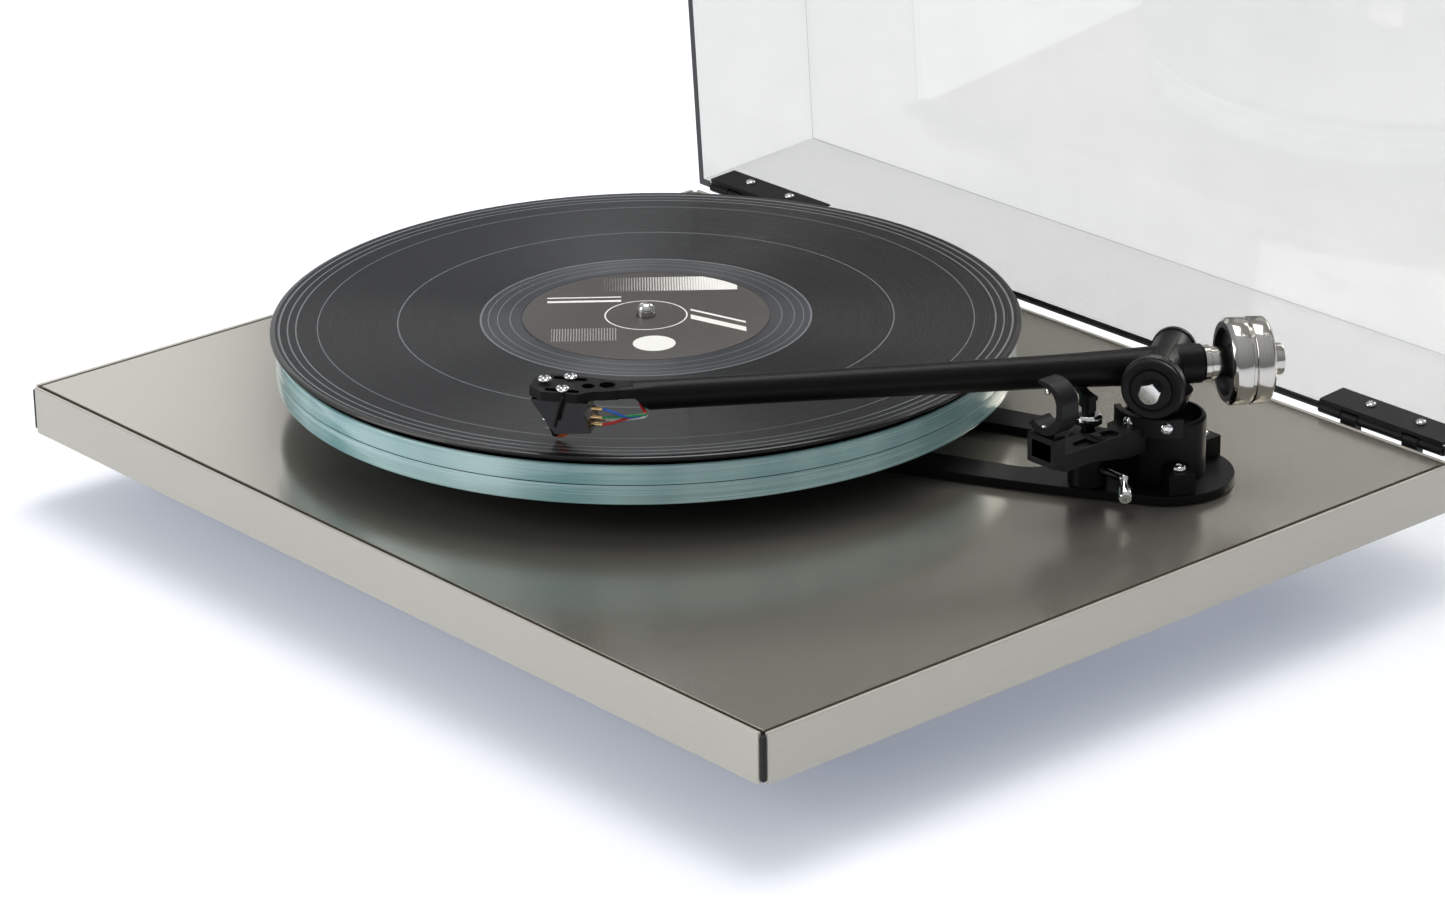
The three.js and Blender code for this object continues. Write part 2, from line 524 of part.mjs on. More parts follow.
// Four fine leads run from the cartridge pins to one bundle under the mouth of the tube.
function addLeads(head) {
  const meet = [-36, -1.2, -4.6];
  const pins = [[-14.8, 4.6, -7.4], [-14.8, 1.4, -3.2], [-14.8, -1.8, -9], [-14.8, -5, -4.8]];
  const mouth = [-30.2, -6.6, -1.1];
  const leads = pins.map(([f, g, z]) =>
    rod([[f, g, z], [-24, g * 0.8 - 1, z * 0.6 - 3.4], meet], 0.55, 4, 5));
  const bundle = rod([mouth, [-31, -4.4, -4.9], [-33.6, -2.2, -5.8], meet], 0.8, 5, 6);
  const knot = new THREE.SphereGeometry(1.5, 8, 6).translate(...meet);
  part('cartridge_leads', join(knot, bundle, ...leads), wire, head);
}

// ---------------------------------------------------------------- lid and hinges
function addHinges() {
  const { y, z, length } = HINGE;
  const halfD = PLINTH.depth / 2;
  const alongX = (radius, x0, x1, sides = 12) => {
    const geometry = new THREE.CylinderGeometry(radius, radius, x1 - x0, sides);
    return geometry.rotateZ(Math.PI / 2).translate((x0 + x1) / 2, y, z);
  };
  for (const [side, sign] of [['left', -1], ['right', 1]]) {
    const mid = sign * HINGE.x;
    const x0 = mid - length / 2;
    const ears = [x0 + 12, x0 + length - 20].map((x) => join(
      block(x, x + 8, halfD + GAP, y + 1.9, -13, z - 2.4),
      block(x, x + 8, y - 1.9, y + 1.9, -13, z),
      alongX(1.9, x, x + 8),
    ));
    const leaf = block(x0 + 4, x0 + length - 4, halfD + GAP, halfD + 2.3, -14, -3.4);
    const base = cut(join(leaf, ...ears), alongX(1.2, x0, x0 + length));
    part(`hinge_base_${side}`, base, mouldedBlack);
    part(`hinge_pin_${side}`, alongX(0.9, x0 + 3, x0 + length - 3), steel);
  }
}

// The lid is drawn closed, in a frame on the hinge axis, and then turned up to its open stop.
function addLid() {
  const lid = new THREE.Group();
  lid.position.set(0, HINGE.y, HINGE.z);
  lid.rotation.x = -rad(LID.open);
  deck.add(lid);
  const { wall } = LID;
  const halfW = LID.width / 2;
  const back = LID.back - HINGE.y;
  const front = back - LID.depth;
  const rim = LID.rim - HINGE.z;
  const top = rim + LID.height;
  const shell = block(-halfW, halfW, front, back, rim, top);
  const hollow = block(-halfW + wall, halfW - wall, front + wall, back - wall, rim - 1, top - wall);
  const clipSpan = (sign) => [sign * HINGE.x - HINGE.length / 2, sign * HINGE.x + HINGE.length / 2];
  const notches = [-1, 1].map((sign) => {
    const [x0, x1] = clipSpan(sign);
    return block(x0 - GAP, x1 + GAP, back - wall - 1, back + 1, rim - 1, rim + 3.2);
  });
  const screwXs = [HINGE.x - 12, HINGE.x + 14];
  const drills = (sign) => screwXs.map((x) =>
    new THREE.CylinderGeometry(1.5, 1.5, 20, 12).translate(sign * x, back, rim + 8.2));
  part('lid', cut(shell, hollow, ...notches, ...drills(-1), ...drills(1)), acrylic, lid);

  for (const [side, sign] of [['left', -1], ['right', 1]]) {
    const [x0, x1] = clipSpan(sign);
    const jaw = outline([
      [back + 1.9, rim + 1.1], [back + 1.9, rim + 14.4], [back + GAP, rim + 15], [back + GAP, rim + 2.9],
      [back - wall - GAP, rim + 2.9], [back - wall - GAP, rim + 15], [back - wall - 1.2, rim + 14.2],
      [back - wall - 1.2, rim + 0.2], [back + 1, rim + 0.2],
    ]);
    const channel = new THREE.ExtrudeGeometry(jaw, { depth: x1 - x0, bevelEnabled: false });
    channel.rotateX(Math.PI / 2).rotateZ(Math.PI / 2).translate(x0, 0, 0);
    const knuckle = new THREE.CylinderGeometry(1.9, 1.9, x1 - x0, 12)
      .rotateZ(Math.PI / 2).translate(sign * HINGE.x, 0, 0);
    const pinHole = new THREE.CylinderGeometry(1.2, 1.2, x1 - x0 + 2, 12)
      .rotateZ(Math.PI / 2).translate(sign * HINGE.x, 0, 0);
    const earRoom = [x0 + 12, x0 + HINGE.length - 20].map((x) =>
      block(x - 0.5, x + 8.5, -2.6, 3, -3, 2.6));
    const clip = cut(join(channel, knuckle), pinHole, ...earRoom, ...drills(sign));
    part(`hinge_clip_${side}`, clip, mouldedBlack, lid);
    screwXs.forEach((x, i) => {
      const seat = back - wall - 1.2 - GAP;
      const screw = turned([
        [0, -5.6], [1.2, -5.6], [1.2, 0], [2.3, 0], [2.3, 0.7], [1.5, 1.2], [0, 1.2],
      ], 14).rotateX(Math.PI / 2).translate(sign * x, seat, rim + 8.2);
      part(`hinge_screw_${side}_${i + 1}`, screw, chrome, lid);
    });
  }
}

// A rubber grommet where the motor's supply lead leaves the underside.
function addPowerGland() {
  const gland = upright(7, UNDER - 6, UNDER - GAP, MOTOR.x, 158, 20, 8);
  part('power_cable_gland', gland, rubber);
}

addPlinth();
addFeet();
addBraces();
addPlatter();
addDrive();
addArmBase();
addRestCarrier();
addRestClip();
addLift();
addTonearm();
addHinges();
addLid();
addPowerGland();

export default player;
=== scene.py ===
"""A belt-driven record player with a glass platter, a straight tonearm and an open clear lid.

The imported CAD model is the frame. Plain castings and mouldings are softened copies of their CAD nodes;
turned, ground and wired pieces are rebuilt here at full smoothness, in the same places.
"""

import json
import math

import bmesh
import bpy
from mathutils import Matrix, Vector


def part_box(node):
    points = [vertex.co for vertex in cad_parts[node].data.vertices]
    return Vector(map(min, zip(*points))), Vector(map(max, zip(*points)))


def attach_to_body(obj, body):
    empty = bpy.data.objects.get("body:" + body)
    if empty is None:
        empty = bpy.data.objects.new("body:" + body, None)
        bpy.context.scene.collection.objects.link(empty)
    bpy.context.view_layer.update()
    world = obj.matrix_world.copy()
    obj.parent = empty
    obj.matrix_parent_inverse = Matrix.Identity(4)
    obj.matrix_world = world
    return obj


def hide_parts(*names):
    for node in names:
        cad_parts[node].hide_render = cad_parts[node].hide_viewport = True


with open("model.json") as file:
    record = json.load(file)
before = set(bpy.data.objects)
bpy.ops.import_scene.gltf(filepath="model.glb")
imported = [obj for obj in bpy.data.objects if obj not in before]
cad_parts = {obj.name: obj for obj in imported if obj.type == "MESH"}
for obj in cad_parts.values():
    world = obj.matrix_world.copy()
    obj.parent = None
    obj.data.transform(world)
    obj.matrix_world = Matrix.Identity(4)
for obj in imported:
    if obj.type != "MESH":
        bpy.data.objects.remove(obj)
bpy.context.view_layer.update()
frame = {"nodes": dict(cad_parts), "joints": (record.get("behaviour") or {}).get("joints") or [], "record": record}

MM = 0.001
UP = Vector((0, 0, 1))
JOINTS = {joint["name"]: joint for joint in frame["joints"]}
SPINDLE = Vector(JOINTS["platter_spin"]["pos_m"])
PIVOT = Vector(JOINTS["arm_swing"]["pos_m"])
LID_HINGE = Vector(JOINTS["lid_hinge"]["pos_m"])
LEVER = Vector(JOINTS["lever_turn"]["pos_m"])
BODY_OF = {node: body for body, nodes in frame["record"]["behaviour"]["bodies"].items() for node in nodes}


def frame_from(origin, x_axis, y_hint):
    """A matrix with its X along x_axis, its Y near y_hint and its origin at origin."""
    x = Vector(x_axis).normalized()
    z = x.cross(Vector(y_hint)).normalized()
    y = z.cross(x)
    matrix = Matrix((x, y, z)).transposed().to_4x4()
    matrix.translation = origin
    return matrix


TOWARD_HEAD = Vector(JOINTS["counterweight_slide"]["axis"])
ARM = frame_from(PIVOT, TOWARD_HEAD, UP.cross(TOWARD_HEAD))
BEARING_AXIS = Vector(JOINTS["arm_pitch"]["axis"])
HEAD_OFFSET = math.radians(-22.5)  # the cartridge points inwards of the tube's line
HEAD = ARM @ Matrix.Translation(Vector((233.9, -5.5, 0)) * MM) @ Matrix.Rotation(HEAD_OFFSET, 4, "Z")
LID_OPEN = math.radians(JOINTS["lid_hinge"]["range_deg"][1])
LID = Matrix.Translation(LID_HINGE) @ Matrix.Rotation(-LID_OPEN, 4, "X")  # the closed lid's own axes


# ---------------------------------------------------------------- camera
AZIMUTH = math.radians(48.995)
ELEVATION = math.radians(22.215)
ROLL = math.radians(-0.743)
LENS_MM = 119.77
CAMERA_AT = Vector((1.3377, -1.2004, 0.7613))


def add_camera():
    back = Vector((
        math.sin(AZIMUTH) * math.cos(ELEVATION),
        -math.cos(AZIMUTH) * math.cos(ELEVATION),
        math.sin(ELEVATION),
    ))
    right = Vector((math.cos(AZIMUTH), math.sin(AZIMUTH), 0))
    upward = back.cross(right)
    turned_right = right * math.cos(ROLL) + upward * math.sin(ROLL)
    turned_up = upward * math.cos(ROLL) - right * math.sin(ROLL)
    data = bpy.data.cameras.new("camera")
    data.lens = LENS_MM
    data.sensor_width = 36
    data.clip_end = 20
    camera = bpy.data.objects.new("camera", data)
    bpy.context.scene.collection.objects.link(camera)
    matrix = Matrix((turned_right, turned_up, back)).transposed().to_4x4()
    matrix.translation = CAMERA_AT
    camera.matrix_world = matrix
    bpy.context.scene.camera = camera


# ---------------------------------------------------------------- materials
def linear(*srgb):
    """A colour given in 0 to 255 sRGB, as Blender's linear colour."""
    channels = [c / 255 for c in srgb]
    return tuple(c / 12.92 if c <= 0.04045 else ((c + 0.055) / 1.055) ** 2.4 for c in channels)


class Nodes:
    """Short names for wiring one material's nodes."""

    def __init__(self, name, **sockets):
        self.material = bpy.data.materials.new(name)
        self.material.use_nodes = True
        self.tree = self.material.node_tree
        self.shader = self.tree.nodes["Principled BSDF"]
        for socket, value in sockets.items():
            self.set(socket.replace("_", " "), value)

    def set(self, socket, value):
        target = self.shader.inputs[socket]
        target.default_value = (*value, 1) if isinstance(value, tuple) else value

    def add(self, kind, inputs=(), **settings):
        node = self.tree.nodes.new("ShaderNode" + kind)
        for key, value in settings.items():
            setattr(node, key, value)
        for socket, value in dict(inputs).items():
            if isinstance(value, bpy.types.NodeSocket):
                self.tree.links.new(value, node.inputs[socket])
            else:
                node.inputs[socket].default_value = value
        return node

    def feed(self, socket, output):
        self.tree.links.new(output, self.shader.inputs[socket])

    def position(self, matrix=None, scale=(1, 1, 1)):
        """The point being shaded, in the row frame or in matrix's axes, stretched by scale."""
        place = self.add("TexCoord").outputs["Object"]
        if matrix:
            inverse = matrix.inverted()
            place = self.add("Mapping", {
                "Vector": place, "Location": inverse.translation, "Rotation": inverse.to_euler(),
            }).outputs[0]
        return self.add("Mapping", {"Vector": place, "Scale": scale}).outputs[0]

    def noise(self, place, scale, detail=4.0, roughness=0.55):
        inputs = {"Vector": place, "Scale": scale, "Detail": detail, "Roughness": roughness}
        return self.add("TexNoise", inputs).outputs["Fac"]

    def math(self, operation, a, b=0.0, c=0.0):
        return self.add("Math", {0: a, 1: b, 2: c}, operation=operation).outputs[0]

    def spread(self, value, low, high, start=0.3, end=0.7):
        inputs = {"Value": value, "From Min": start, "From Max": end, "To Min": low, "To Max": high}
        return self.add("MapRange", inputs).outputs[0]

    def mix(self, factor, first, second):
        node = self.add("Mix", data_type="RGBA")
        for socket, value in ((0, factor), (6, first), (7, second)):
            if isinstance(value, bpy.types.NodeSocket):
                self.tree.links.new(value, node.inputs[socket])
            else:
                node.inputs[socket].default_value = (*value, 1) if isinstance(value, tuple) else value
        return node.outputs[2]

    def bump(self, height, distance, strength=1.0):
        inputs = {"Height": height, "Distance": distance, "Strength": strength}
        self.feed("Normal", self.add("Bump", inputs).outputs[0])

    def from_axis(self, matrix):
        """Distance from matrix's Z axis, in metres."""
        place = self.position(matrix)
        flat = self.add("VectorMath", {0: place, 1: (1, 1, 0)}, operation="MULTIPLY").outputs[0]
        return self.add("VectorMath", {0: flat}, operation="LENGTH").outputs["Value"]


def grained(name, dark, light, rough, scale, grain, **sockets):
    """A finish with a fine grain in its colour, gloss and surface, and a slow drift of gloss over it.

    scale is the grain's fineness and grain its height in metres.
    """
    nodes = Nodes(name, **sockets)
    fine = nodes.noise(nodes.position(), scale)
    slow = nodes.noise(nodes.position(), 14.0, detail=2.0)
    nodes.feed("Base Color", nodes.mix(nodes.spread(fine, 0, 1), dark, light))
    mottled = nodes.math("MULTIPLY_ADD", slow, 0.35, fine)
    nodes.feed("Roughness", nodes.spread(mottled, rough[0], rough[1], 0.4, 0.95))
    nodes.bump(fine, grain)
    return nodes.material


def axis_frame(origin, direction):
    """A matrix with its Z along direction."""
    matrix = Vector(direction).to_track_quat("Z", "Y").to_matrix().to_4x4()
    matrix.translation = origin
    return matrix


def turned_metal(name, matrix, dark, light, rough):
    """Metal with the fine rings that a lathe tool leaves round matrix's Z axis."""
    nodes = Nodes(name, Metallic=1.0)
    radius = nodes.from_axis(matrix)
    along = nodes.add("SeparateXYZ", {0: nodes.position(matrix)}).outputs[2]
    travel = nodes.math("ADD", radius, along)
    rings = nodes.noise(nodes.add("CombineXYZ", {0: travel}).outputs[0], 5200.0, detail=3.0)
    nodes.feed("Base Color", nodes.mix(nodes.spread(rings, 0, 1), dark, light))
    nodes.feed("Roughness", nodes.spread(rings, rough[0], rough[1]))
    nodes.bump(rings, 0.000002)
    return nodes.material


def laminate(name, dark, light, rough, stretch, metallic=0.75):
    """Metallic laminate: long soft streaks along one direction, a drift of tone, and a sealed gloss."""
    nodes = Nodes(name, Metallic=metallic, Coat_Weight=0.25, Coat_Roughness=0.16)
    streaks = nodes.noise(nodes.position(scale=stretch), 2200.0, detail=3.0, roughness=0.5)
    drift = nodes.noise(nodes.position(), 5.0, detail=2.0)
    tone = nodes.math("MULTIPLY_ADD", drift, 0.6, streaks)
    nodes.feed("Base Color", nodes.mix(nodes.spread(tone, 0, 1, 0.5, 1.1), dark, light))
    nodes.feed("Roughness", nodes.spread(streaks, rough[0], rough[1]))
    return nodes.material


# the lines between tracks and in the dead wax, painted light grey as a painted sheen: share of the record's
# radius, half width in metres
VINYL_SHEEN_LINES = (
    (0.975, 0.0004), (0.952, 0.0003), (0.93, 0.0003), (0.873, 0.0002), (0.66, 0.00025),
    (0.44, 0.0004), (0.42, 0.00018), (0.395, 0.00018), (0.362, 0.00018),
)


def vinyl(outer, dead_wax):
    """Pressed vinyl: grooves that catch the light in fans, bright lines between tracks as a painted sheen, and a
    smooth dead wax with a lighter grey painted sheen.
    """
    nodes = Nodes("pressed vinyl", Anisotropic=0.9, Specular_IOR_Level=0.42, Coat_Weight=0.2,
                  Coat_Roughness=0.03)
    matrix = Matrix.Translation(SPINDLE)
    radius = nodes.from_axis(matrix)
    line = nodes.add("CombineXYZ", {0: radius}).outputs[0]
    groove = nodes.noise(line, 4200.0, detail=2.0)
    track = nodes.noise(line, 180.0, detail=3.0)
    painted_sheen_lines = None
    for share, half_width in VINYL_SHEEN_LINES:
        sheen_line = nodes.math("COMPARE", radius, share * outer, half_width)
        painted_sheen_lines = sheen_line if painted_sheen_lines is None else nodes.math("MAXIMUM", painted_sheen_lines, sheen_line)
    dead = nodes.math("LESS_THAN", radius, dead_wax)
    tone = nodes.mix(nodes.spread(track, 0, 1), linear(5, 5, 7), linear(13, 14, 16))
    # painted sheen: the dead wax is painted lighter grey and the lines between tracks bright grey, standing for
    # light caught by the smooth black vinyl there
    with_painted_wax_sheen = nodes.mix(dead, tone, linear(48, 50, 55))
    nodes.feed("Base Color", nodes.mix(painted_sheen_lines, with_painted_wax_sheen, linear(112, 115, 120)))
    rough = nodes.spread(groove, 0.22, 0.36)
    nodes.feed("Roughness", nodes.math("MULTIPLY_ADD", dead, 0.06, rough))
    nodes.feed("Tangent", nodes.add("Tangent", direction_type="RADIAL", axis="Z").outputs[0])
    ridges = nodes.math("MULTIPLY", groove, nodes.math("SUBTRACT", 1.0, dead))
    nodes.bump(ridges, 0.000004)
    return nodes.material


def label_paper(radius):
    """A dark label with an abstract pattern: fields of dots, bars, slanted stripes, a ring and a disc."""
    nodes = Nodes("label paper", Roughness=0.5)
    matrix = Matrix.Translation(SPINDLE) @ Matrix.Rotation(math.radians(50), 4, "Z")
    parts = nodes.add("SeparateXYZ", {0: nodes.position(matrix)})
    x, y = parts.outputs[0], parts.outputs[1]
    place = nodes.add("CombineXYZ", {0: x, 1: y}).outputs[0]

    def within(value, middle, half):
        return nodes.math("COMPARE", value, middle * radius, half * radius)

    def far(cx, cy):
        off = nodes.add("VectorMath", {0: place, 1: (cx * radius, cy * radius, 0)}, operation="DISTANCE")
        return off.outputs["Value"]

    def both(first, second):
        return nodes.math("MULTIPLY", first, second)

    dots = nodes.add("TexVoronoi", {"Vector": place, "Scale": 900.0, "Randomness": 0.0},
                     voronoi_dimensions="2D")
    fade = nodes.spread(x, 0.1, 0.72, -0.3 * radius, 0.75 * radius)
    field = both(nodes.math("LESS_THAN", dots.outputs["Distance"], fade), within(y, 0.72, 0.16))
    field = both(field, within(x, 0.2, 0.55))
    faint = both(nodes.math("LESS_THAN", dots.outputs["Distance"], 0.2), within(y, -0.42, 0.14))
    faint = both(faint, within(x, -0.5, 0.26))
    bars = nodes.math("MAXIMUM", within(y, 0.34, 0.022), within(y, 0.43, 0.012))
    bars = both(bars, within(x, -0.5, 0.3))
    slant = nodes.math("MULTIPLY_ADD", x, 0.7, y)
    stripes = nodes.math("MAXIMUM", within(slant, 0.2, 0.05), within(slant, 0.36, 0.02))
    stripes = both(stripes, within(x, 0.58, 0.22))
    disc = nodes.math("LESS_THAN", far(0.06, -0.64), 0.17 * radius)
    hub = within(nodes.from_axis(matrix), 0.33, 0.006)
    art = None
    for shape in (field, faint, bars, stripes, disc, hub):
        art = shape if art is None else nodes.math("MAXIMUM", art, shape)
    fibre = nodes.noise(nodes.position(), 900.0)
    paper = nodes.mix(nodes.spread(fibre, 0, 1), linear(58, 54, 52), linear(68, 64, 61))
    nodes.feed("Base Color", nodes.mix(art, paper, linear(232, 231, 226)))
    nodes.bump(fibre, 0.000005)
    return nodes.material


def float_glass():
    """Clear float glass, green-blue through its thickness; its lightly ground rim has a material of its own."""
    nodes = Nodes("float glass", Transmission_Weight=1.0, IOR=1.52)
    haze = nodes.noise(nodes.position(), 60.0)
    nodes.feed("Roughness", nodes.spread(haze, 0.03, 0.09))
    tone = nodes.mix(nodes.spread(haze, 0, 1), linear(196, 232, 230), linear(206, 238, 234))
    nodes.feed("Base Color", tone)
    return nodes.material


def ground_rim():
    """The glass platter's rim: finely ground and green-blue, with a painted glow and patches of painted highlight
    in its colour standing for the light inside the glass.
    """
    nodes = Nodes("ground glass rim", Transmission_Weight=0.25, IOR=1.52, Coat_Weight=0.9,
                  Coat_Roughness=0.08)
    lines = nodes.noise(nodes.position(scale=(0.01, 0.01, 1)), 700.0, detail=2.0)
    # painted highlight: bright patches across the rim's colour stand for glints of light in the glass
    painted_glint_patches = nodes.noise(nodes.position(scale=(1, 1, 0.1)), 22.0, detail=2.0)
    grain_and_painted_glints = nodes.math("MULTIPLY_ADD", painted_glint_patches, 2.0, lines)
    tone = nodes.mix(nodes.spread(grain_and_painted_glints, 0, 1, 1.1, 1.9), linear(132, 186, 189), linear(212, 247, 246))
    nodes.feed("Base Color", tone)
    nodes.feed("Roughness", nodes.spread(lines, 0.2, 0.3))
    return nodes.material


def clear_acrylic():
    """Clear sheet with a faint grey tint and a trace of haze."""
    nodes = Nodes("clear acrylic", Transmission_Weight=1.0, IOR=1.49)
    haze = nodes.noise(nodes.position(), 30.0)
    nodes.feed("Roughness", nodes.spread(haze, 0.01, 0.03))
    tone = nodes.mix(nodes.spread(haze, 0, 1), linear(215, 214, 210), linear(218, 217, 213))
    nodes.feed("Base Color", tone)
    let_light_through(nodes)
    return nodes.material


def let_light_through(nodes):
    """Lets lamplight pass straight through a clear sheet instead of casting a black shadow."""
    clear = nodes.add("BsdfTransparent", {"Color": (0.92, 0.92, 0.91, 1)})
    shadow = nodes.add("LightPath").outputs["Is Shadow Ray"]
    both = nodes.add("MixShader", {0: shadow, 1: nodes.shader.outputs[0], 2: clear.outputs[0]})
    nodes.tree.links.new(both.outputs[0], nodes.tree.nodes["Material Output"].inputs["Surface"])


SATIN_BLACK = grained("satin black coat", linear(10, 10, 11), linear(15, 15, 15), (0.34, 0.46), 700.0,
                      0.000002, Specular_IOR_Level=0.15)
MOULDED_BLACK = grained("moulded black", linear(12, 12, 13), linear(18, 19, 20), (0.34, 0.48), 900.0,
                        0.000003, Specular_IOR_Level=0.22)
CARTRIDGE_BLACK = grained("gloss cartridge shell", linear(9, 9, 10), linear(14, 14, 15), (0.16, 0.26), 500.0,
                          0.000001, Specular_IOR_Level=0.35)
RUBBER = grained("black rubber", linear(18, 18, 18), linear(27, 27, 27), (0.7, 0.9), 500.0, 0.00003)
DARK_CORE = grained("dark core", linear(12, 11, 11), linear(20, 19, 18), (0.6, 0.8), 400.0, 0.00003)
FELT = grained("black felt", linear(12, 12, 13), linear(30, 30, 31), (0.9, 1.0), 1600.0, 0.0002,
               Sheen_Weight=0.25, Sheen_Roughness=0.5)
TOP_SKIN = laminate("brushed top laminate", linear(160, 156, 146), linear(167, 163, 153), (0.2, 0.24),
                    (1, 0.03, 1))
TRIM = laminate("edge trim", linear(181, 176, 166), linear(188, 184, 174), (0.38, 0.42), (0.04, 0.04, 1), 0.3)
CHROME = grained("polished chrome", linear(215, 215, 214), linear(236, 236, 235), (0.05, 0.12), 400.0,
                 0.000002, Metallic=1.0)
STEEL = turned_metal("turned steel", axis_frame(PIVOT, TOWARD_HEAD), linear(176, 173, 168),
                     linear(212, 209, 204), (0.09, 0.16))
WEIGHT_FACE = grained("dark weight face", linear(60, 60, 62), linear(78, 78, 80), (0.35, 0.5), 500.0, 0.00001,
                      Metallic=0.7)
BRASS = turned_metal("turned brass", axis_frame(SPINDLE, UP), linear(176, 138, 70), linear(214, 178, 104),
                     (0.15, 0.3))
GOLD = grained("gold plated clip", linear(214, 176, 120), linear(240, 208, 160), (0.15, 0.3), 600.0, 0.000003,
               Metallic=1.0)
AMBER = grained("amber plastic", linear(190, 70, 24), linear(214, 92, 34), (0.25, 0.4), 400.0, 0.00001,
                Subsurface_Weight=0.2)
GLASS = float_glass()
GLASS_RIM = ground_rim()
ACRYLIC = clear_acrylic()
SMOKED_EDGE = grained("dark lid rim", linear(20, 21, 26), linear(32, 33, 40), (0.12, 0.25), 200.0, 0.00001)


def lead_finish(name, dark, light):
    return grained(name, linear(*dark), linear(*light), (0.35, 0.5), 900.0, 0.00001)


LEAD_COLOURS = {
    "blue": lead_finish("blue lead", (24, 84, 176), (40, 104, 200)),
    "green": lead_finish("green lead", (30, 120, 70), (52, 150, 92)),
    "red": lead_finish("red lead", (190, 20, 26), (214, 36, 38)),
    "white": lead_finish("white lead", (206, 206, 200), (232, 232, 226)),
}


# ---------------------------------------------------------------- mesh helpers
SHARP = math.radians(35)  # edges that turn by more than this stay sharp
SAME_PLANE = math.radians(1)
SAME_POINT = 0.000004  # metres
SLIVER = 0.000002


def mark_edges(mesh_bm):
    """Smooths every face and keeps the sharp edges sharp."""
    for edge in mesh_bm.edges:
        edge.smooth = len(edge.link_faces) == 2 and edge.calc_face_angle(0) < SHARP
    for face in mesh_bm.faces:
        face.smooth = True


def finish_mesh(name, mesh_bm, material):
    """Makes an object from a bmesh."""
    bmesh.ops.recalc_face_normals(mesh_bm, faces=mesh_bm.faces)
    mark_edges(mesh_bm)
    mesh = bpy.data.meshes.new(name)
    mesh_bm.to_mesh(mesh)
    mesh_bm.free()
    mesh.materials.append(material)
    obj = bpy.data.objects.new(name, mesh)
    bpy.context.scene.collection.objects.link(obj)
    return obj


def soften(obj, width, segments=2, angle=32):
    """Rounds every edge sharper than angle, by width in millimetres."""
    bevel = obj.modifiers.new("round edges", "BEVEL")
    bevel.width = width * MM
    bevel.segments = segments
    bevel.limit_method = "ANGLE"
    bevel.angle_limit = math.radians(angle)
    bevel.harden_normals = True
    bevel.miter_outer = "MITER_ARC"
    return obj


def turn(mesh_bm, profile, matrix, steps=96, knurl=()):
    """Turns a profile of (radius, height) in millimetres round matrix's Z; knurled points go in and out."""
    closed = profile[0] == profile[-1]
    points = profile[:-1] if closed else profile
    rings = []
    for index, (radius, height) in enumerate(points):
        if radius < 1e-6:
            rings.append([mesh_bm.verts.new(matrix @ Vector((0, 0, height * MM)))])
            continue
        ring = []
        for step in range(steps):
            around = 2 * math.pi * step / steps
            reach = radius - (0.22 if index in knurl and step % 2 else 0)
            spot = Vector((reach * math.cos(around), reach * math.sin(around), height)) * MM
            ring.append(mesh_bm.verts.new(matrix @ spot))
        rings.append(ring)
    pairs = list(zip(rings, rings[1:] + rings[:1] if closed else rings[1:]))
    for lower, upper in pairs:
        for step in range(steps):
            after = (step + 1) % steps
            if len(lower) == 1 and len(upper) == 1:
                continue
            if len(lower) == 1:
                mesh_bm.faces.new((lower[0], upper[after], upper[step]))
            elif len(upper) == 1:
                mesh_bm.faces.new((lower[step], lower[after], upper[0]))
            else:
                mesh_bm.faces.new((lower[step], lower[after], upper[after], upper[step]))


def turned(name, profile, matrix, material, steps=96, knurl=(), edge=0.0):
    mesh_bm = bmesh.new()
    turn(mesh_bm, profile, matrix, steps, knurl)
    obj = finish_mesh(name, mesh_bm, material)
    return soften(obj, edge) if edge else obj


def prism(mesh_bm, outline, low, high, matrix):
    """Extrudes an outline of (x, y) in millimetres from height low to high along matrix's Z."""
    floor = [mesh_bm.verts.new(matrix @ (Vector((x, y, low)) * MM)) for x, y in outline]
    roof = [mesh_bm.verts.new(matrix @ (Vector((x, y, high)) * MM)) for x, y in outline]
    mesh_bm.faces.new(floor[::-1])
    mesh_bm.faces.new(roof)
    count = len(outline)
    for i in range(count):
        j = (i + 1) % count
        mesh_bm.faces.new((floor[i], floor[j], roof[j], roof[i]))


def arc(x, y, radius, start, end, steps=10):
    """Points on an arc, angles in degrees."""
    turn_by = [math.radians(start + (end - start) * i / steps) for i in range(steps + 1)]
    return [(x + radius * math.cos(a), y + radius * math.sin(a)) for a in turn_by]


def tool(build):
    """A throwaway object for a boolean, built by build(bmesh)."""
    mesh_bm = bmesh.new()
    build(mesh_bm)
    return finish_mesh("tool", mesh_bm, SATIN_BLACK)


def boolean(obj, other, operation):
    modifier = obj.modifiers.new("boolean", "BOOLEAN")
    modifier.operation = operation
    modifier.object = other
    modifier.solver = "EXACT"
    apply_modifiers(obj)
    bpy.data.objects.remove(other)


def apply_modifiers(obj):
    bpy.context.view_layer.update()
    evaluated = obj.evaluated_get(bpy.context.evaluated_depsgraph_get())
    mesh = bpy.data.meshes.new_from_object(evaluated)
    obj.modifiers.clear()
    obj.data = mesh


def attach(obj, node):
    """obj stands for a CAD node and moves with its body."""
    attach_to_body(obj, BODY_OF[node])
    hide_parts(node)
    return obj


def detail(obj, body, slot):
    """A small piece that the CAD model leaves out."""
    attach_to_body(obj, body)
    return obj


def copied(node, name, material):
    """A new object in a CAD node's shape, with its flat faces merged."""
    mesh_bm = bmesh.new()
    mesh_bm.from_mesh(frame["nodes"][node].data)
    bmesh.ops.remove_doubles(mesh_bm, verts=mesh_bm.verts, dist=SAME_POINT)
    bmesh.ops.dissolve_limit(mesh_bm, angle_limit=SAME_PLANE, verts=mesh_bm.verts, edges=mesh_bm.edges)
    return finish_mesh(name, mesh_bm, material)


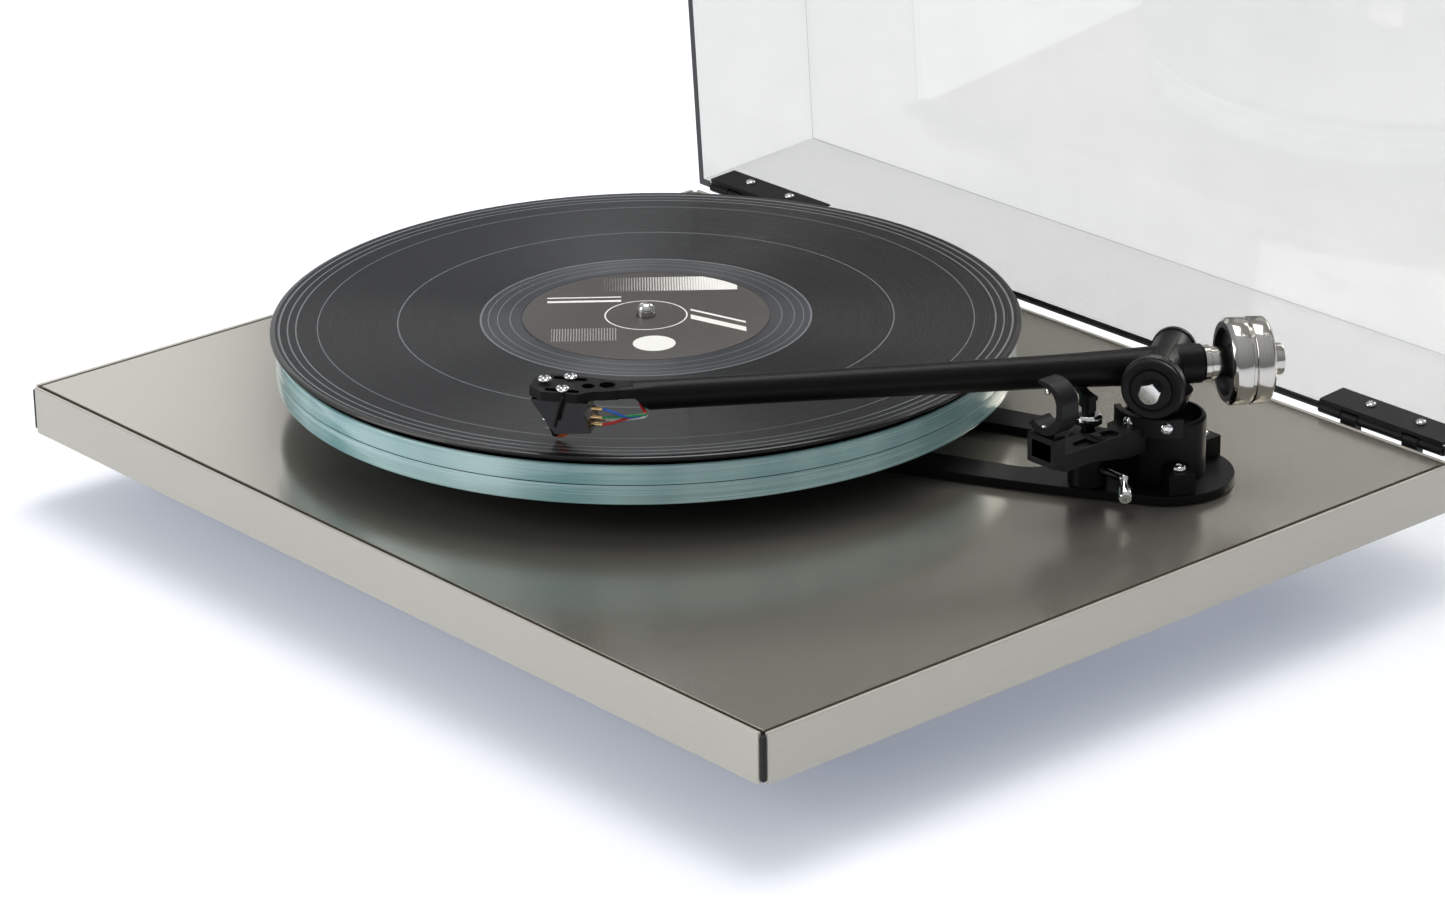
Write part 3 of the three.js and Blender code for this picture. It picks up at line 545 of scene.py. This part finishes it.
def softened(node, material, width=0.3, segments=2, angle=32):
    """A copy of a CAD node with its edges rounded by width in millimetres."""
    obj = copied(node, node + "_body", material)
    soften(obj, width, segments, angle)
    return attach(obj, node)


def extent(node):
    """A node's lowest and highest corners, in millimetres."""
    low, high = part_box(node)
    return low / MM, high / MM


# ---------------------------------------------------------------- plinth
def build_plinth():
    softened("plinth_core", DARK_CORE, 0.3)
    softened("plinth_top_skin", TOP_SKIN, 0.25)
    softened("plinth_bottom_skin", SATIN_BLACK, 0.25)
    for side in ("front", "right", "back", "left"):
        softened(f"edge_trim_{side}", TRIM, 0.45, 3)
    for foot in ("foot_front_left", "foot_front_right", "foot_rear"):
        build_foot(foot)
    softened("top_brace", SATIN_BLACK, 0.35)
    softened("bottom_brace", TRIM, 0.3)
    softened("power_cable_gland", RUBBER, 0.3)
    softened("signal_cable_gland", RUBBER, 0.3)


def build_foot(node):
    """A rubber foot: a pad, a waist and a wider collar under the plinth."""
    low, high = extent(node)
    radius = (high.x - low.x) / 2
    centre = Vector(((low.x + high.x) / 2, (low.y + high.y) / 2, 0)) * MM
    profile = [
        (0, low.z), (radius - 4, low.z), (radius - 2.8, low.z + 0.6), (radius - 2.5, low.z + 2),
        (radius - 2.5, low.z + 6), (radius - 0.6, low.z + 7.4), (radius, low.z + 9), (radius, high.z - 2.4),
        (radius - 0.7, high.z - 0.7), (radius - 2.2, high.z), (0, high.z),
    ]
    attach(turned(f"{node}_pad", profile, Matrix.Translation(centre), RUBBER), node)


# ---------------------------------------------------------------- platter
def on_spindle():
    return Matrix.Translation(Vector((SPINDLE.x, SPINDLE.y, 0)))


def disc_profile(inner, outer, low, high, edge, steps=4, top_edge=None):
    """A ring with rounded outer corners."""
    over = top_edge or edge
    profile = [(inner, low), (outer - edge, low)]
    profile += arc(outer - edge, low + edge, edge, -90, 0, steps)[1:]
    profile += arc(outer - over, high - over, over, 0, 90, steps)
    return profile + [(inner, high), (inner, low)]


RIM_BAND = 1.2  # millimetres: the outermost part of a glass pane, which is ground


def build_platter():
    for pane, bore, edge, top_edge in (("lower", 12.3, 0.7, 0.12), ("upper", 4.2, 0.12, 0.9)):
        node = f"platter_glass_{pane}"
        low, high = extent(node)
        radius = (high.x - low.x) / 2
        profile = disc_profile(bore, radius, low.z, high.z, edge, 5, top_edge)
        glass = turned(f"glass_pane_{pane}", profile, on_spindle(), GLASS, 256)
        glass.data.materials.append(GLASS_RIM)
        for face in glass.data.polygons:
            spot = face.center - SPINDLE
            if math.hypot(spot.x, spot.y) > (radius - RIM_BAND) * MM:
                face.material_index = 1
        attach(glass, node)
    low, high = extent("platter_mat")
    profile = disc_profile(4.2, (high.x - low.x) / 2, low.z, high.z, 0.5, 4)
    attach(turned("felt_mat", profile, on_spindle(), FELT, 192), "platter_mat")
    build_record()
    softened("subplatter", MOULDED_BLACK, 0.4)
    softened("main_bearing_housing", BRASS, 0.3)
    build_spindle()


def build_record():
    low, high = extent("record")
    outer = (high.x - low.x) / 2
    label_low, label_high = extent("record_label")
    label = (label_high.x - label_low.x) / 2
    top = high.z
    profile = [
        (3.9, low.z), (outer - 1.2, low.z), (outer - 0.3, low.z + 0.4), (outer, low.z + 0.95),
        (outer - 0.3, top - 0.4), (outer - 1.2, top - 0.03), (outer - 2.4, top), (outer - 4.4, top - 0.22),
        (label + 6.6, top - 0.22), (label + 5.4, top - 0.12), (label + 1.4, top - 0.05), (label + 0.6, top),
        (label + 0.25, top - 0.1), (label + 0.25, top - 0.5), (3.9, top - 0.5), (3.9, low.z),
    ]
    material = vinyl(outer * MM, 0.44 * outer * MM)
    attach(turned("pressed_record", profile, on_spindle(), material, 256), "record")
    profile = disc_profile(3.9, label, label_low.z, label_high.z, 0.1, 2)
    paper = turned("paper_label", profile, on_spindle(), label_paper(label * MM), 192)
    attach(paper, "record_label")


def build_spindle():
    low, high = extent("centre_spindle")
    profile = [
        (0, low.z), (4, low.z), (5.6, low.z + 1.6), (5.6, high.z - 20), (3.55, high.z - 19.6),
        (3.55, high.z - 3.2), (3.4, high.z - 2.2), (2.9, high.z - 1), (1.9, high.z - 0.25), (0, high.z),
    ]
    attach(turned("spindle_pin", profile, on_spindle(), CHROME, 48), "centre_spindle")


def build_drive():
    softened("motor_body", STEEL, 0.5)
    softened("motor_pulley", STEEL, 0.2)
    softened("drive_belt", RUBBER, 0.5, 2)


# ---------------------------------------------------------------- tonearm base, rest and lift
def button_screw(name, origin, direction, radius, recess):
    """A domed screw head with a cross, a slot or a socket, standing on origin and facing direction."""
    matrix = axis_frame(origin, direction)
    height = radius * 0.62
    profile = [
        (0, 0), (radius * 0.96, 0), (radius, height * 0.3), (radius * 0.93, height * 0.62),
        (radius * 0.72, height * 0.9), (radius * 0.4, height), (0, height),
    ]
    head = turned(name, profile, matrix, CHROME, 32)
    width = radius * 0.2
    reach = radius * (2 if recess == "slot" else 0.62)

    def cutter(mesh_bm):
        depth = height * 0.45
        if recess == "socket":
            prism(mesh_bm, arc(0, 0, radius * 0.42, 0, 300, 5), depth, height * 2, matrix)
            return
        prism(mesh_bm, [(-reach, -width), (reach, -width), (reach, width), (-reach, width)], depth, 3, matrix)

    boolean(head, tool(cutter), "DIFFERENCE")
    if recess == "cross":
        def across(mesh_bm):
            prism(mesh_bm, [(-width, -reach), (width, -reach), (width, reach), (-width, reach)],
                  height * 0.45, 3, matrix)
        boolean(head, tool(across), "DIFFERENCE")
    return head


def build_arm_base():
    softened("arm_base", SATIN_BLACK, 0.45, 3)
    softened("rest_carrier", MOULDED_BLACK, 0.45, 3)
    softened("rest_clip", MOULDED_BLACK, 0.5, 3)
    softened("bias_slider", MOULDED_BLACK, 0.3)
    for number in (1, 2, 3):
        node = f"base_screw_{number}"
        low, high = extent(node)
        seat = Vector(((low.x + high.x) / 2, (low.y + high.y) / 2, high.z - 2.3)) * MM
        attach(button_screw(f"lug_screw_{number}", seat, UP, 2.9, "socket"), node)
    build_collar_screws()
    build_clip_pins()
    build_lift()


def build_collar_screws():
    """Two screws in the side of the carrier's collar, sunk a little into it."""
    top = extent("arm_base")[1].z
    collar, sunk = 19.2, 0.6
    for number, angle in enumerate((268, 317), 1):
        outward = Vector((math.cos(math.radians(angle)), math.sin(math.radians(angle)), 0))
        spot = Vector((PIVOT.x, PIVOT.y, 0)) + outward * (collar - sunk) * MM
        spot.z = (top + 0.5) * MM
        detail(button_screw(f"collar_screw_{number}", spot, outward, 2.5, "socket"), "deck", "chrome")


def build_clip_pins():
    """Two bright pins in the near face of the clip, one near its top and one near its foot."""
    low, high = extent("rest_clip")
    for number, (share, height) in enumerate(((0.52, high.z - 4.0), (0.42, low.z + 2.6)), 1):
        spot = Vector((low.x + share * (high.x - low.x), low.y + 0.25, height)) * MM
        matrix = axis_frame(spot, Vector((0, -1, 0)))
        profile = [(0, -1), (1.15, -1), (1.15, 0.05), (0.9, 0.22), (0, 0.24)]
        detail(turned(f"clip_pin_{number}", profile, matrix, CHROME, 32), "deck", "chrome")


def build_lift():
    softened("lift_housing", SATIN_BLACK, 0.3)
    softened("lift_platform", SATIN_BLACK, 0.3)
    low, high = extent("lift_housing")
    centre = Vector(((low.x + high.x) / 2, (low.y + high.y) / 2, 0)) * MM
    foot, shoulder, top = high.z + 4.9, high.z + 6, high.z + 7.1
    ring = [(2.75, foot), (5.5, foot), (5.5, shoulder), (4.6, top), (2.75, top), (2.75, foot)]
    detail(turned("lift_ring", ring, Matrix.Translation(centre), CHROME, 64, edge=0.15), "lift", "chrome")
    build_lever()


def build_lever():
    """A chrome shaft, an elbow and a short handle that ends in a dished knob."""
    low, high = extent("lift_lever")
    length, thick, elbow_radius, steps = 17.4, 1.6, 2, 32
    shaft = axis_frame(Vector((low.x * MM, LEVER.y, LEVER.z)), Vector((1, 0, 0)))
    knob_end = Vector((high.x - 1.0, low.y + thick, low.z + thick)) * MM
    elbow = Vector((low.x + length, LEVER.y / MM, LEVER.z / MM)) * MM
    rod = [(0, 0), (thick, 0), (1.5, length - 1), (0, length - 1)]
    ball = [(0, -elbow_radius)]
    ball += [(elbow_radius * math.cos(a), elbow_radius * math.sin(a))
             for a in [math.radians(t) for t in range(-80, 81, 10)]]
    ball += [(0, elbow_radius)]
    direction = knob_end - elbow
    reach = direction.length / MM
    handle = [
        (0, 0), (1.5, 0), (1.5, reach - 6), (2.7, reach - 5.2), (2.85, reach - 1), (2.3, reach),
        (1.6, reach), (1.3, reach - 1.2), (0, reach - 1.4),
    ]
    obj = turned("lever_rod", rod, shaft, CHROME, steps)
    boolean(obj, tool(lambda b: turn(b, ball, axis_frame(elbow, UP), steps)), "UNION")
    boolean(obj, tool(lambda b: turn(b, handle, axis_frame(elbow, direction), steps)), "UNION")
    attach(obj, "lift_lever")


# ---------------------------------------------------------------- tonearm
def arm_axis(x=0.0):
    """Z along the tube towards the head, starting x millimetres from the pivot."""
    return ARM @ Matrix.Translation(Vector((x * MM, 0, 0))) @ Matrix.Rotation(math.pi / 2, 4, "Y")


def cross_axis():
    """Z along the arm's cross bearing, towards the dial."""
    return axis_frame(PIVOT, BEARING_AXIS)


# Profiles of (radius, distance along the axis from the pivot), and outlines, in millimetres.
TUBE = [
    (0, -14.3), (7.1, -14.3), (7.6, -13.8), (7.7, -8), (7.7, 2), (7, 20), (6.65, 33), (6.4, 47),
    (6.2, 80), (5.8, 139), (5.7, 180), (5.7, 206), (0, 206),
]
CROSS_HOUSING = [(0, -17), (8.2, -17), (8.2, 20), (7.7, 20.6), (0, 20.6)]
FAR_CAP = [(0, -19.6), (8.3, -19.6), (8.8, -19.1), (8.8, -17.2), (8.2, -16.8), (0, -16.8)]
UNDERCUT = [(198, -8), (198.6, -6.2), (205.6, 0.8), (212, 0.8), (212, -8)]  # below the tube's mouth
UNDERCUT_SIDES = (-12, 12)
SHELL_PLATE = (0.9, 4.5)  # lowest and highest, in the headshell's axes
THROUGH_PLATE = (0, 7)
SLOT_ENDS, SLOT_ACROSS, SLOT_RADIUS = (-9, 1.4), 6.35, 1.5  # the cartridge's screws slide in two slots
SHELL_HOLES = ((-12.2, -0.4, 2.5), (-18.9, -3.1, 3.1), (4.4, 0, 1.4))  # ahead, across, radius
LEAD_BORE, LEAD_BORE_OFF = [(0, 196), (1.5, 196), (1.5, 207), (0, 207)], 1.0
YOKE_POCKET, YOKE_POCKET_Z = [(-5.3, -5), (5.3, -5), (5.3, 5), (-5.3, 5)], (-12, 5.6)
CROSS_BORE = [(0, -13), (2.4, -13), (2.4, 24), (0, 24)]
STUB_SOCKET = [(0, -16), (4, -16), (4, -8), (0, -8)]


def build_arm_tube():
    """One casting: tapered tube, cross housing, far cap and headshell, blended into each other."""
    obj = turned("arm_casting", TUBE, arm_axis(), SATIN_BLACK, 128)
    boolean(obj, tool(lambda b: turn(b, CROSS_HOUSING, cross_axis(), 96)), "UNION")
    boolean(obj, tool(lambda b: turn(b, FAR_CAP, cross_axis(), 96)), "UNION")
    boolean(obj, tool(neck), "UNION")
    side = ARM @ Matrix.Rotation(math.pi / 2, 4, "X")
    boolean(obj, tool(lambda b: prism(b, UNDERCUT, *UNDERCUT_SIDES, side)), "DIFFERENCE")
    boolean(obj, tool(lambda b: prism(b, headshell_outline(), *SHELL_PLATE, HEAD)), "UNION")
    outlines = [slot_outline(*SLOT_ENDS, across, SLOT_RADIUS) for across in (-SLOT_ACROSS, SLOT_ACROSS)]
    outlines += [arc(ahead, across, radius, 0, 345, 23) for ahead, across, radius in SHELL_HOLES]
    for outline in outlines:
        boolean(obj, tool(lambda b: prism(b, outline, *THROUGH_PLATE, HEAD)), "DIFFERENCE")
    lead_axis = arm_axis() @ Matrix.Translation(Vector((LEAD_BORE_OFF, 0, 0)) * MM)
    boolean(obj, tool(lambda b: turn(b, LEAD_BORE, lead_axis, 32)), "DIFFERENCE")
    boolean(obj, tool(lambda b: prism(b, YOKE_POCKET, *YOKE_POCKET_Z, neck_frame())), "DIFFERENCE")
    boolean(obj, tool(lambda b: turn(b, CROSS_BORE, cross_axis(), 32)), "DIFFERENCE")
    boolean(obj, tool(lambda b: turn(b, STUB_SOCKET, arm_axis(), 32)), "DIFFERENCE")
    retouch(obj)
    soften(obj, 0.35, 3, 34)
    attach(obj, "arm_tube")


NECK_START = Vector((193, 0, 0))  # in the arm's axes
NECK_END = Vector((-17, -2.4, 2.7))  # in the headshell's axes
TUBE_HALF, PLATE_HALF_WIDE, PLATE_HALF_TALL = 5.7, 5.9, 1.8
NECK_SECTIONS, NECK_STEPS = 14, 48


def neck(mesh_bm):
    """The tube's end drawn out and flattened into the headshell's plate."""
    across_tube = ARM.to_3x3() @ Vector((0, 1, 0))
    across_head = HEAD.to_3x3() @ Vector((0, 1, 0))
    up = ARM.to_3x3() @ Vector((0, 0, 1))
    start = ARM @ (NECK_START * MM)
    finish = HEAD @ (NECK_END * MM)
    rings = []
    for section in range(NECK_SECTIONS + 1):
        t = section / NECK_SECTIONS
        ease = t * t * (3 - 2 * t)
        centre = start.lerp(finish, t) + up * (ease - t) * NECK_END.z * MM
        across = across_tube.lerp(across_head, ease).normalized()
        wide = TUBE_HALF + (PLATE_HALF_WIDE - TUBE_HALF) * ease
        tall = TUBE_HALF + (PLATE_HALF_TALL - TUBE_HALF) * ease
        power = 2 / (2 + 3 * ease)  # from a circle to a rounded oblong
        ring = []
        for step in range(NECK_STEPS):
            around = 2 * math.pi * step / NECK_STEPS
            c, s = math.cos(around), math.sin(around)
            sideways = wide * math.copysign(abs(c) ** power, c)
            upwards = tall * math.copysign(abs(s) ** power, s)
            ring.append(mesh_bm.verts.new(centre + (across * sideways + up * upwards) * MM))
        rings.append(ring)
    for lower, upper in zip(rings, rings[1:]):
        for step in range(NECK_STEPS):
            after = (step + 1) % NECK_STEPS
            mesh_bm.faces.new((lower[step], lower[after], upper[after], upper[step]))
    mesh_bm.faces.new(rings[0][::-1])
    mesh_bm.faces.new(rings[-1])


def neck_frame():
    """X across the cross bearing, Y along it, Z up the arm."""
    return frame_from(PIVOT, BEARING_AXIS.cross(UP), BEARING_AXIS)


def retouch(obj):
    """Merges what a boolean left behind and marks the smooth edges again."""
    mesh_bm = bmesh.new()
    mesh_bm.from_mesh(obj.data)
    bmesh.ops.remove_doubles(mesh_bm, verts=mesh_bm.verts, dist=SAME_POINT)
    bmesh.ops.dissolve_degenerate(mesh_bm, edges=mesh_bm.edges, dist=SLIVER)
    mark_edges(mesh_bm)
    mesh_bm.to_mesh(obj.data)
    mesh_bm.free()


def curve(start, first, second, end, steps=9):
    """Points along a cubic, from start to end."""
    points = []
    for step in range(steps + 1):
        t = step / steps
        weights = ((1 - t) ** 3, 3 * t * (1 - t) ** 2, 3 * t * t * (1 - t), t ** 3)
        guides = (start, first, second, end)
        points.append(tuple(sum(w * p[i] for w, p in zip(weights, guides)) for i in (0, 1)))
    return points


def headshell_outline():
    """The plate seen from above, in its own axes: a blunt nose, slanted corners and a waist on each side."""
    outline = [(9.2, -4.6), (9.2, 4.6), (3.6, 9.4)]
    outline += curve((-9.3, 9.4), (-12, 9.4), (-13, 4.6), (-19, 3.9))
    outline += [(-24, 1.6), (-24, -9.2)]
    outline += curve((-24, -9.2), (-18, -7.8), (-14, -9.4), (-9.3, -9.4))[1:]
    return outline + [(3.6, -9.4)]


def slot_outline(start, end, across, radius):
    """A slot along the cartridge's direction."""
    return arc(end, across, radius, -90, 90, 10) + arc(start, across, radius, 90, 270, 10)


def build_bearing():
    """The yoke, and the cross pin with its domed six-sided nut."""
    softened("arm_yoke", SATIN_BLACK, 0.4, 3)
    obj = turned("cross_pin", [(0, -12), (2, -12), (2, 29), (0, 29)], cross_axis(), CHROME, 32)

    def nut(mesh_bm):
        matrix = cross_axis() @ Matrix.Rotation(math.radians(14), 4, "Z")
        prism(mesh_bm, arc(0, 0, 4.4, 0, 300, 5), 27.9, 32.2, matrix)

    def dome(mesh_bm):
        profile = [(0, 27.8), (6, 27.8), (4.6, 31.2), (3.6, 32.6), (2.3, 33.5), (0, 33.8)]
        turn(mesh_bm, profile, cross_axis(), 64)

    shape = tool(nut)
    boolean(shape, tool(dome), "INTERSECT")
    boolean(obj, shape, "UNION")
    retouch(obj)
    soften(obj, 0.2, 2, 25)
    attach(obj, "bearing_cross_spindle")
    build_dial()


def build_dial():
    """The tracking force dial, knurled round its rim and stepped in front."""
    profile = [
        (2.4, 20.9), (11.9, 20.9), (12.3, 21.2), (12.3, 24.6), (11.9, 24.9), (11.75, 25.1), (11.75, 26.6),
        (11.3, 27.1), (9, 27.1), (8.7, 26.9), (8.5, 26.3), (8.1, 26.3), (7.9, 26.9), (7.6, 27.4), (2.4, 27.4),
        (2.4, 20.9),
    ]
    dial = turned("dial_knob", profile, cross_axis(), MOULDED_BLACK, 180, knurl=(2, 3))
    attach(dial, "tracking_dial")


def build_counterweight():
    """The barrel with its middle groove, hollow towards the pivot, and the stub it slides on."""
    profile = [
        (6.5, -39.8), (15.1, -39.8), (15.7, -39.7), (16.85, -38.6), (17, -38.2), (17, -32.6), (16.85, -32.35),
        (16.2, -32), (16.2, -31), (16.85, -30.65), (17, -30.4), (17, -24.8), (16.85, -24.4), (15.5, -23.05),
        (15.2, -23), (13.3, -23), (13.2, -23.1), (13.2, -25.8), (6.5, -25.8), (6.5, -39.8),
    ]
    weight = turned("weight_barrel", profile, arm_axis(), STEEL, 160)
    weight.data.materials.append(WEIGHT_FACE)
    dark_radius, dark_from = 15.4, -26  # the hollow side towards the pivot is dark inside this radius
    inverse = arm_axis().inverted()
    for face in weight.data.polygons:
        spot = inverse @ face.center
        reach = math.hypot(spot.x, spot.y) / MM
        if reach < dark_radius and spot.z / MM > dark_from:
            face.material_index = 1
    attach(weight, "counterweight")
    stub = [
        (0, -46.2), (5.2, -46.2), (5.9, -45.9), (6.2, -45.2), (6.2, -17.2), (6.8, -17.2), (7, -17),
        (7, -14.8), (6.8, -14.6), (3.7, -14.6), (3.7, -8.6), (0, -8.6),
    ]
    attach(turned("weight_stub", stub, arm_axis(), STEEL, 96), "counterweight_stub")


def in_head(f, g, height):
    """A point in the headshell's axes: f ahead of the stylus, g towards the finger lift, in millimetres."""
    return HEAD @ (Vector((f, g, height)) * MM)


def build_head():
    head_up = (HEAD.to_3x3() @ UP).normalized()
    places = (((4.4, 0), 0.8), ((-4, -6.35), 0), ((-4, 6.35), 0))
    for number, ((f, g), lift) in enumerate(places, 1):
        node = f"headshell_screw_{number}"
        seat = in_head(f, g, 4.75 + lift)
        attach(button_screw(f"shell_screw_{number}", seat, head_up, 2.65, "slot"), node)
        stem = [(0, -4.4), (1, -4.4), (1, 5.0 + lift), (0, 5.0 + lift)]
        shank = turned(f"shell_screw_stem_{number}", stem, HEAD @ Matrix.Translation(Vector((f, g, 0)) * MM),
                       CHROME, 24)
        detail(shank, "tonearm", "chrome")
    build_cartridge()
    build_finger_lift()
    build_leads()


def build_cartridge():
    softened("cartridge_body", CARTRIDGE_BLACK, 0.35, 3)
    softened("stylus_assembly", AMBER, 0.2)
    build_guard_wires()


def build_guard_wires():
    """Two fine bright wires that guard the stylus in front."""
    for number, (f, g, low, side) in enumerate(((6.2, -2.0, -11.4, -1), (4.6, 1.2, -13.4, 1)), 1):
        root, bend = in_head(1.6, g * 0.6, low + 0.6), in_head(f * 0.8, g, low - 0.2)
        points = [root, bend, in_head(f, g + side * 1.2, low)]
        wire = tube(f"guard_wire_{number}", points, 0.28, CHROME)
        detail(wire, "tonearm", "chrome")


def tube(name, points, radius, material, resolution=8):
    """A round wire through points, radius in millimetres."""
    data = bpy.data.curves.new(name, "CURVE")
    data.dimensions = "3D"
    data.bevel_depth = radius * MM
    data.bevel_resolution = 5
    data.use_fill_caps = True
    data.resolution_u = resolution
    spline = data.splines.new("NURBS")
    spline.points.add(len(points) - 1)
    for point, spot in zip(spline.points, points):
        point.co = (*spot, 1)
    spline.order_u = min(4, len(points))
    spline.use_endpoint_u = True
    obj = bpy.data.objects.new(name, data)
    bpy.context.scene.collection.objects.link(obj)
    data.materials.append(material)
    return obj


def build_finger_lift():
    path = [(-5, 10.4, 2.9), (-5, 11.0, 2.8), (-4.6, 11.4, 1.6), (-3.8, 11.4, -1.6), (-2.9, 11.4, -5),
            (-2.2, 11.4, -8.2)]
    lift = tube("finger_bar", [in_head(*spot) for spot in path], 0.75, SATIN_BLACK, 12)
    attach(lift, "finger_lift")


def build_leads():
    """Four coloured leads from gilt clips on the cartridge pins to the mouth of the tube."""
    mouth = (-30.4, -6.4, -1.4)
    routes = {
        "red": ((-14.4, 3.4, -8.9), (-20.5, 3.4, -8.9), (-26, 2.0, -6.8), (-31, 0.4, -5.4)),
        "blue": ((-14.4, 3.6, -2.6), (-22.5, 4.2, -2.6), (-25.5, 3.4, -5.2), (-30, 0.6, -6.2)),
        "green": ((-14.4, 3.9, -5.9), (-21.5, 3.8, -5.8), (-27, 2.4, -5.4), (-32, 0.6, -4.8)),
        "white": ((-14.4, -1.6, -8.6), (-20.5, -0.6, -8.8), (-27, 0.4, -7.2), (-32, 0.2, -6.2)),
    }
    for number, (colour, (pin, *middle)) in enumerate(routes.items()):
        turn_back = (-36, -1.2 + 0.2 * number, -4.4 - 0.4 * number)
        near_mouth = (-32.2, -3.0 - 0.7 * number, -4.6 + 0.3 * number)
        path = [(pin[0] - 3.2, pin[1], pin[2]), *middle, turn_back, near_mouth, mouth]
        lead = tube(f"lead_{colour}", [in_head(*spot) for spot in path], 0.55, LEAD_COLOURS[colour], 16)
        detail(lead, "tonearm", "lead_wire")
        clip_path = [pin, (pin[0] - 2.2, pin[1], pin[2]), (pin[0] - 4.4, pin[1] + 0.1, pin[2])]
        clip = tube(f"lead_clip_{colour}", [in_head(*spot) for spot in clip_path], 0.85, GOLD, 6)
        detail(clip, "tonearm", "brass")
    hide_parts("cartridge_leads")


# ---------------------------------------------------------------- lid
FLAT_SHEET = 0.0002  # square metres: larger faces of the lid are flat, smaller ones are its rounded edges
RIM_DEPTH = 0.006  # metres: the closed lid's rim lies below this height in its own axes
FACING = 0.9  # the cosine past which a face counts as facing a direction


def build_lid():
    """The clear cover, with its dark rim, and the clips and screws that hold it."""
    lid = copied("lid", "lid_shell", ACRYLIC)
    lid.data.materials.append(SMOKED_EDGE)
    inverse = LID.inverted()
    outward = LID.to_3x3() @ Vector((0, 0, -1))
    for face in lid.data.polygons:
        local = inverse @ face.center
        if face.normal.dot(outward) > FACING and local.z < RIM_DEPTH:
            face.material_index = 1
    soften(lid, 0.5, 3, 40).modifiers[0].harden_normals = False
    apply_modifiers(lid)
    for face in lid.data.polygons:
        face.use_smooth = face.area < FLAT_SHEET
    attach(lid, "lid")
    for side in ("left", "right"):
        softened(f"hinge_clip_{side}", MOULDED_BLACK, 0.35, 3, 34)
        softened(f"hinge_base_{side}", MOULDED_BLACK, 0.3)
        softened(f"hinge_pin_{side}", STEEL, 0.1)
        for number in (1, 2):
            node = f"hinge_screw_{side}_{number}"
            low, high = extent(node)
            facing = LID.to_3x3() @ Vector((0, -1, 0))
            centre = Vector(((low.x + high.x) / 2, (low.y + high.y) / 2, high.z - 1.5)) * MM
            attach(button_screw(f"clip_screw_{side}_{number}", centre, facing, 2.25, "cross"), node)


# ---------------------------------------------------------------- stage
def build_stage():
    mesh_bm = bmesh.new()
    bmesh.ops.create_grid(mesh_bm, x_segments=1, y_segments=1, size=12)
    floor_finish = grained("pale floor", (0.8, 0.8, 0.8), (0.82, 0.82, 0.82), (0.8, 0.9), 40.0, 0.00001,
                           Emission_Color=(0.25, 0.275, 0.33), Emission_Strength=1.0, Specular_IOR_Level=0.0)
    floor = finish_mesh("floor", mesh_bm, floor_finish)
    build_world()
    add_light("overhead", (-0.35, 0.35, 1.9), 1.1, 20, (1.0, 0.99, 0.97))
    add_light("back right", (-0.35, 2.5, 1.35), 0.9, 20, (1.0, 0.985, 0.96))
    add_light("back left", (-2.3, 0.9, 0.9), 0.8, 2.4, (1.0, 1.0, 1.0))
    add_light("front fill", (-1.3, -2.3, 1.1), 1.4, 24, (1.0, 1.0, 1.0))
    bpy.context.scene.view_settings.view_transform = "Standard"


def build_world():
    """A grey room that is brighter overhead."""
    world = bpy.data.worlds.new("studio")
    world.use_nodes = True
    tree = world.node_tree
    height = tree.nodes.new("ShaderNodeSeparateXYZ")
    tree.links.new(tree.nodes.new("ShaderNodeTexCoord").outputs["Generated"], height.inputs[0])
    brightness = tree.nodes.new("ShaderNodeMapRange")
    for socket, value in (("From Min", 0.1), ("From Max", 1.0), ("To Min", 0.24), ("To Max", 0.6)):
        brightness.inputs[socket].default_value = value
    tree.links.new(height.outputs[2], brightness.inputs["Value"])
    background = tree.nodes["Background"]
    background.inputs["Color"].default_value = (0.95, 0.975, 1.0, 1)
    tree.links.new(brightness.outputs[0], background.inputs["Strength"])
    bpy.context.scene.world = world


def add_light(name, place, size, power, colour):
    data = bpy.data.lights.new(name, "AREA")
    data.size = size
    data.energy = power
    data.color = colour
    light = bpy.data.objects.new(name, data)
    bpy.context.scene.collection.objects.link(light)
    light.location = place
    aim = Vector((0, 0, 0.06)) - Vector(place)
    light.rotation_euler = aim.to_track_quat("-Z", "Y").to_euler()


add_camera()
build_plinth()
build_platter()
build_drive()
build_arm_base()
build_arm_tube()
build_bearing()
build_counterweight()
build_head()
build_lid()
build_stage()
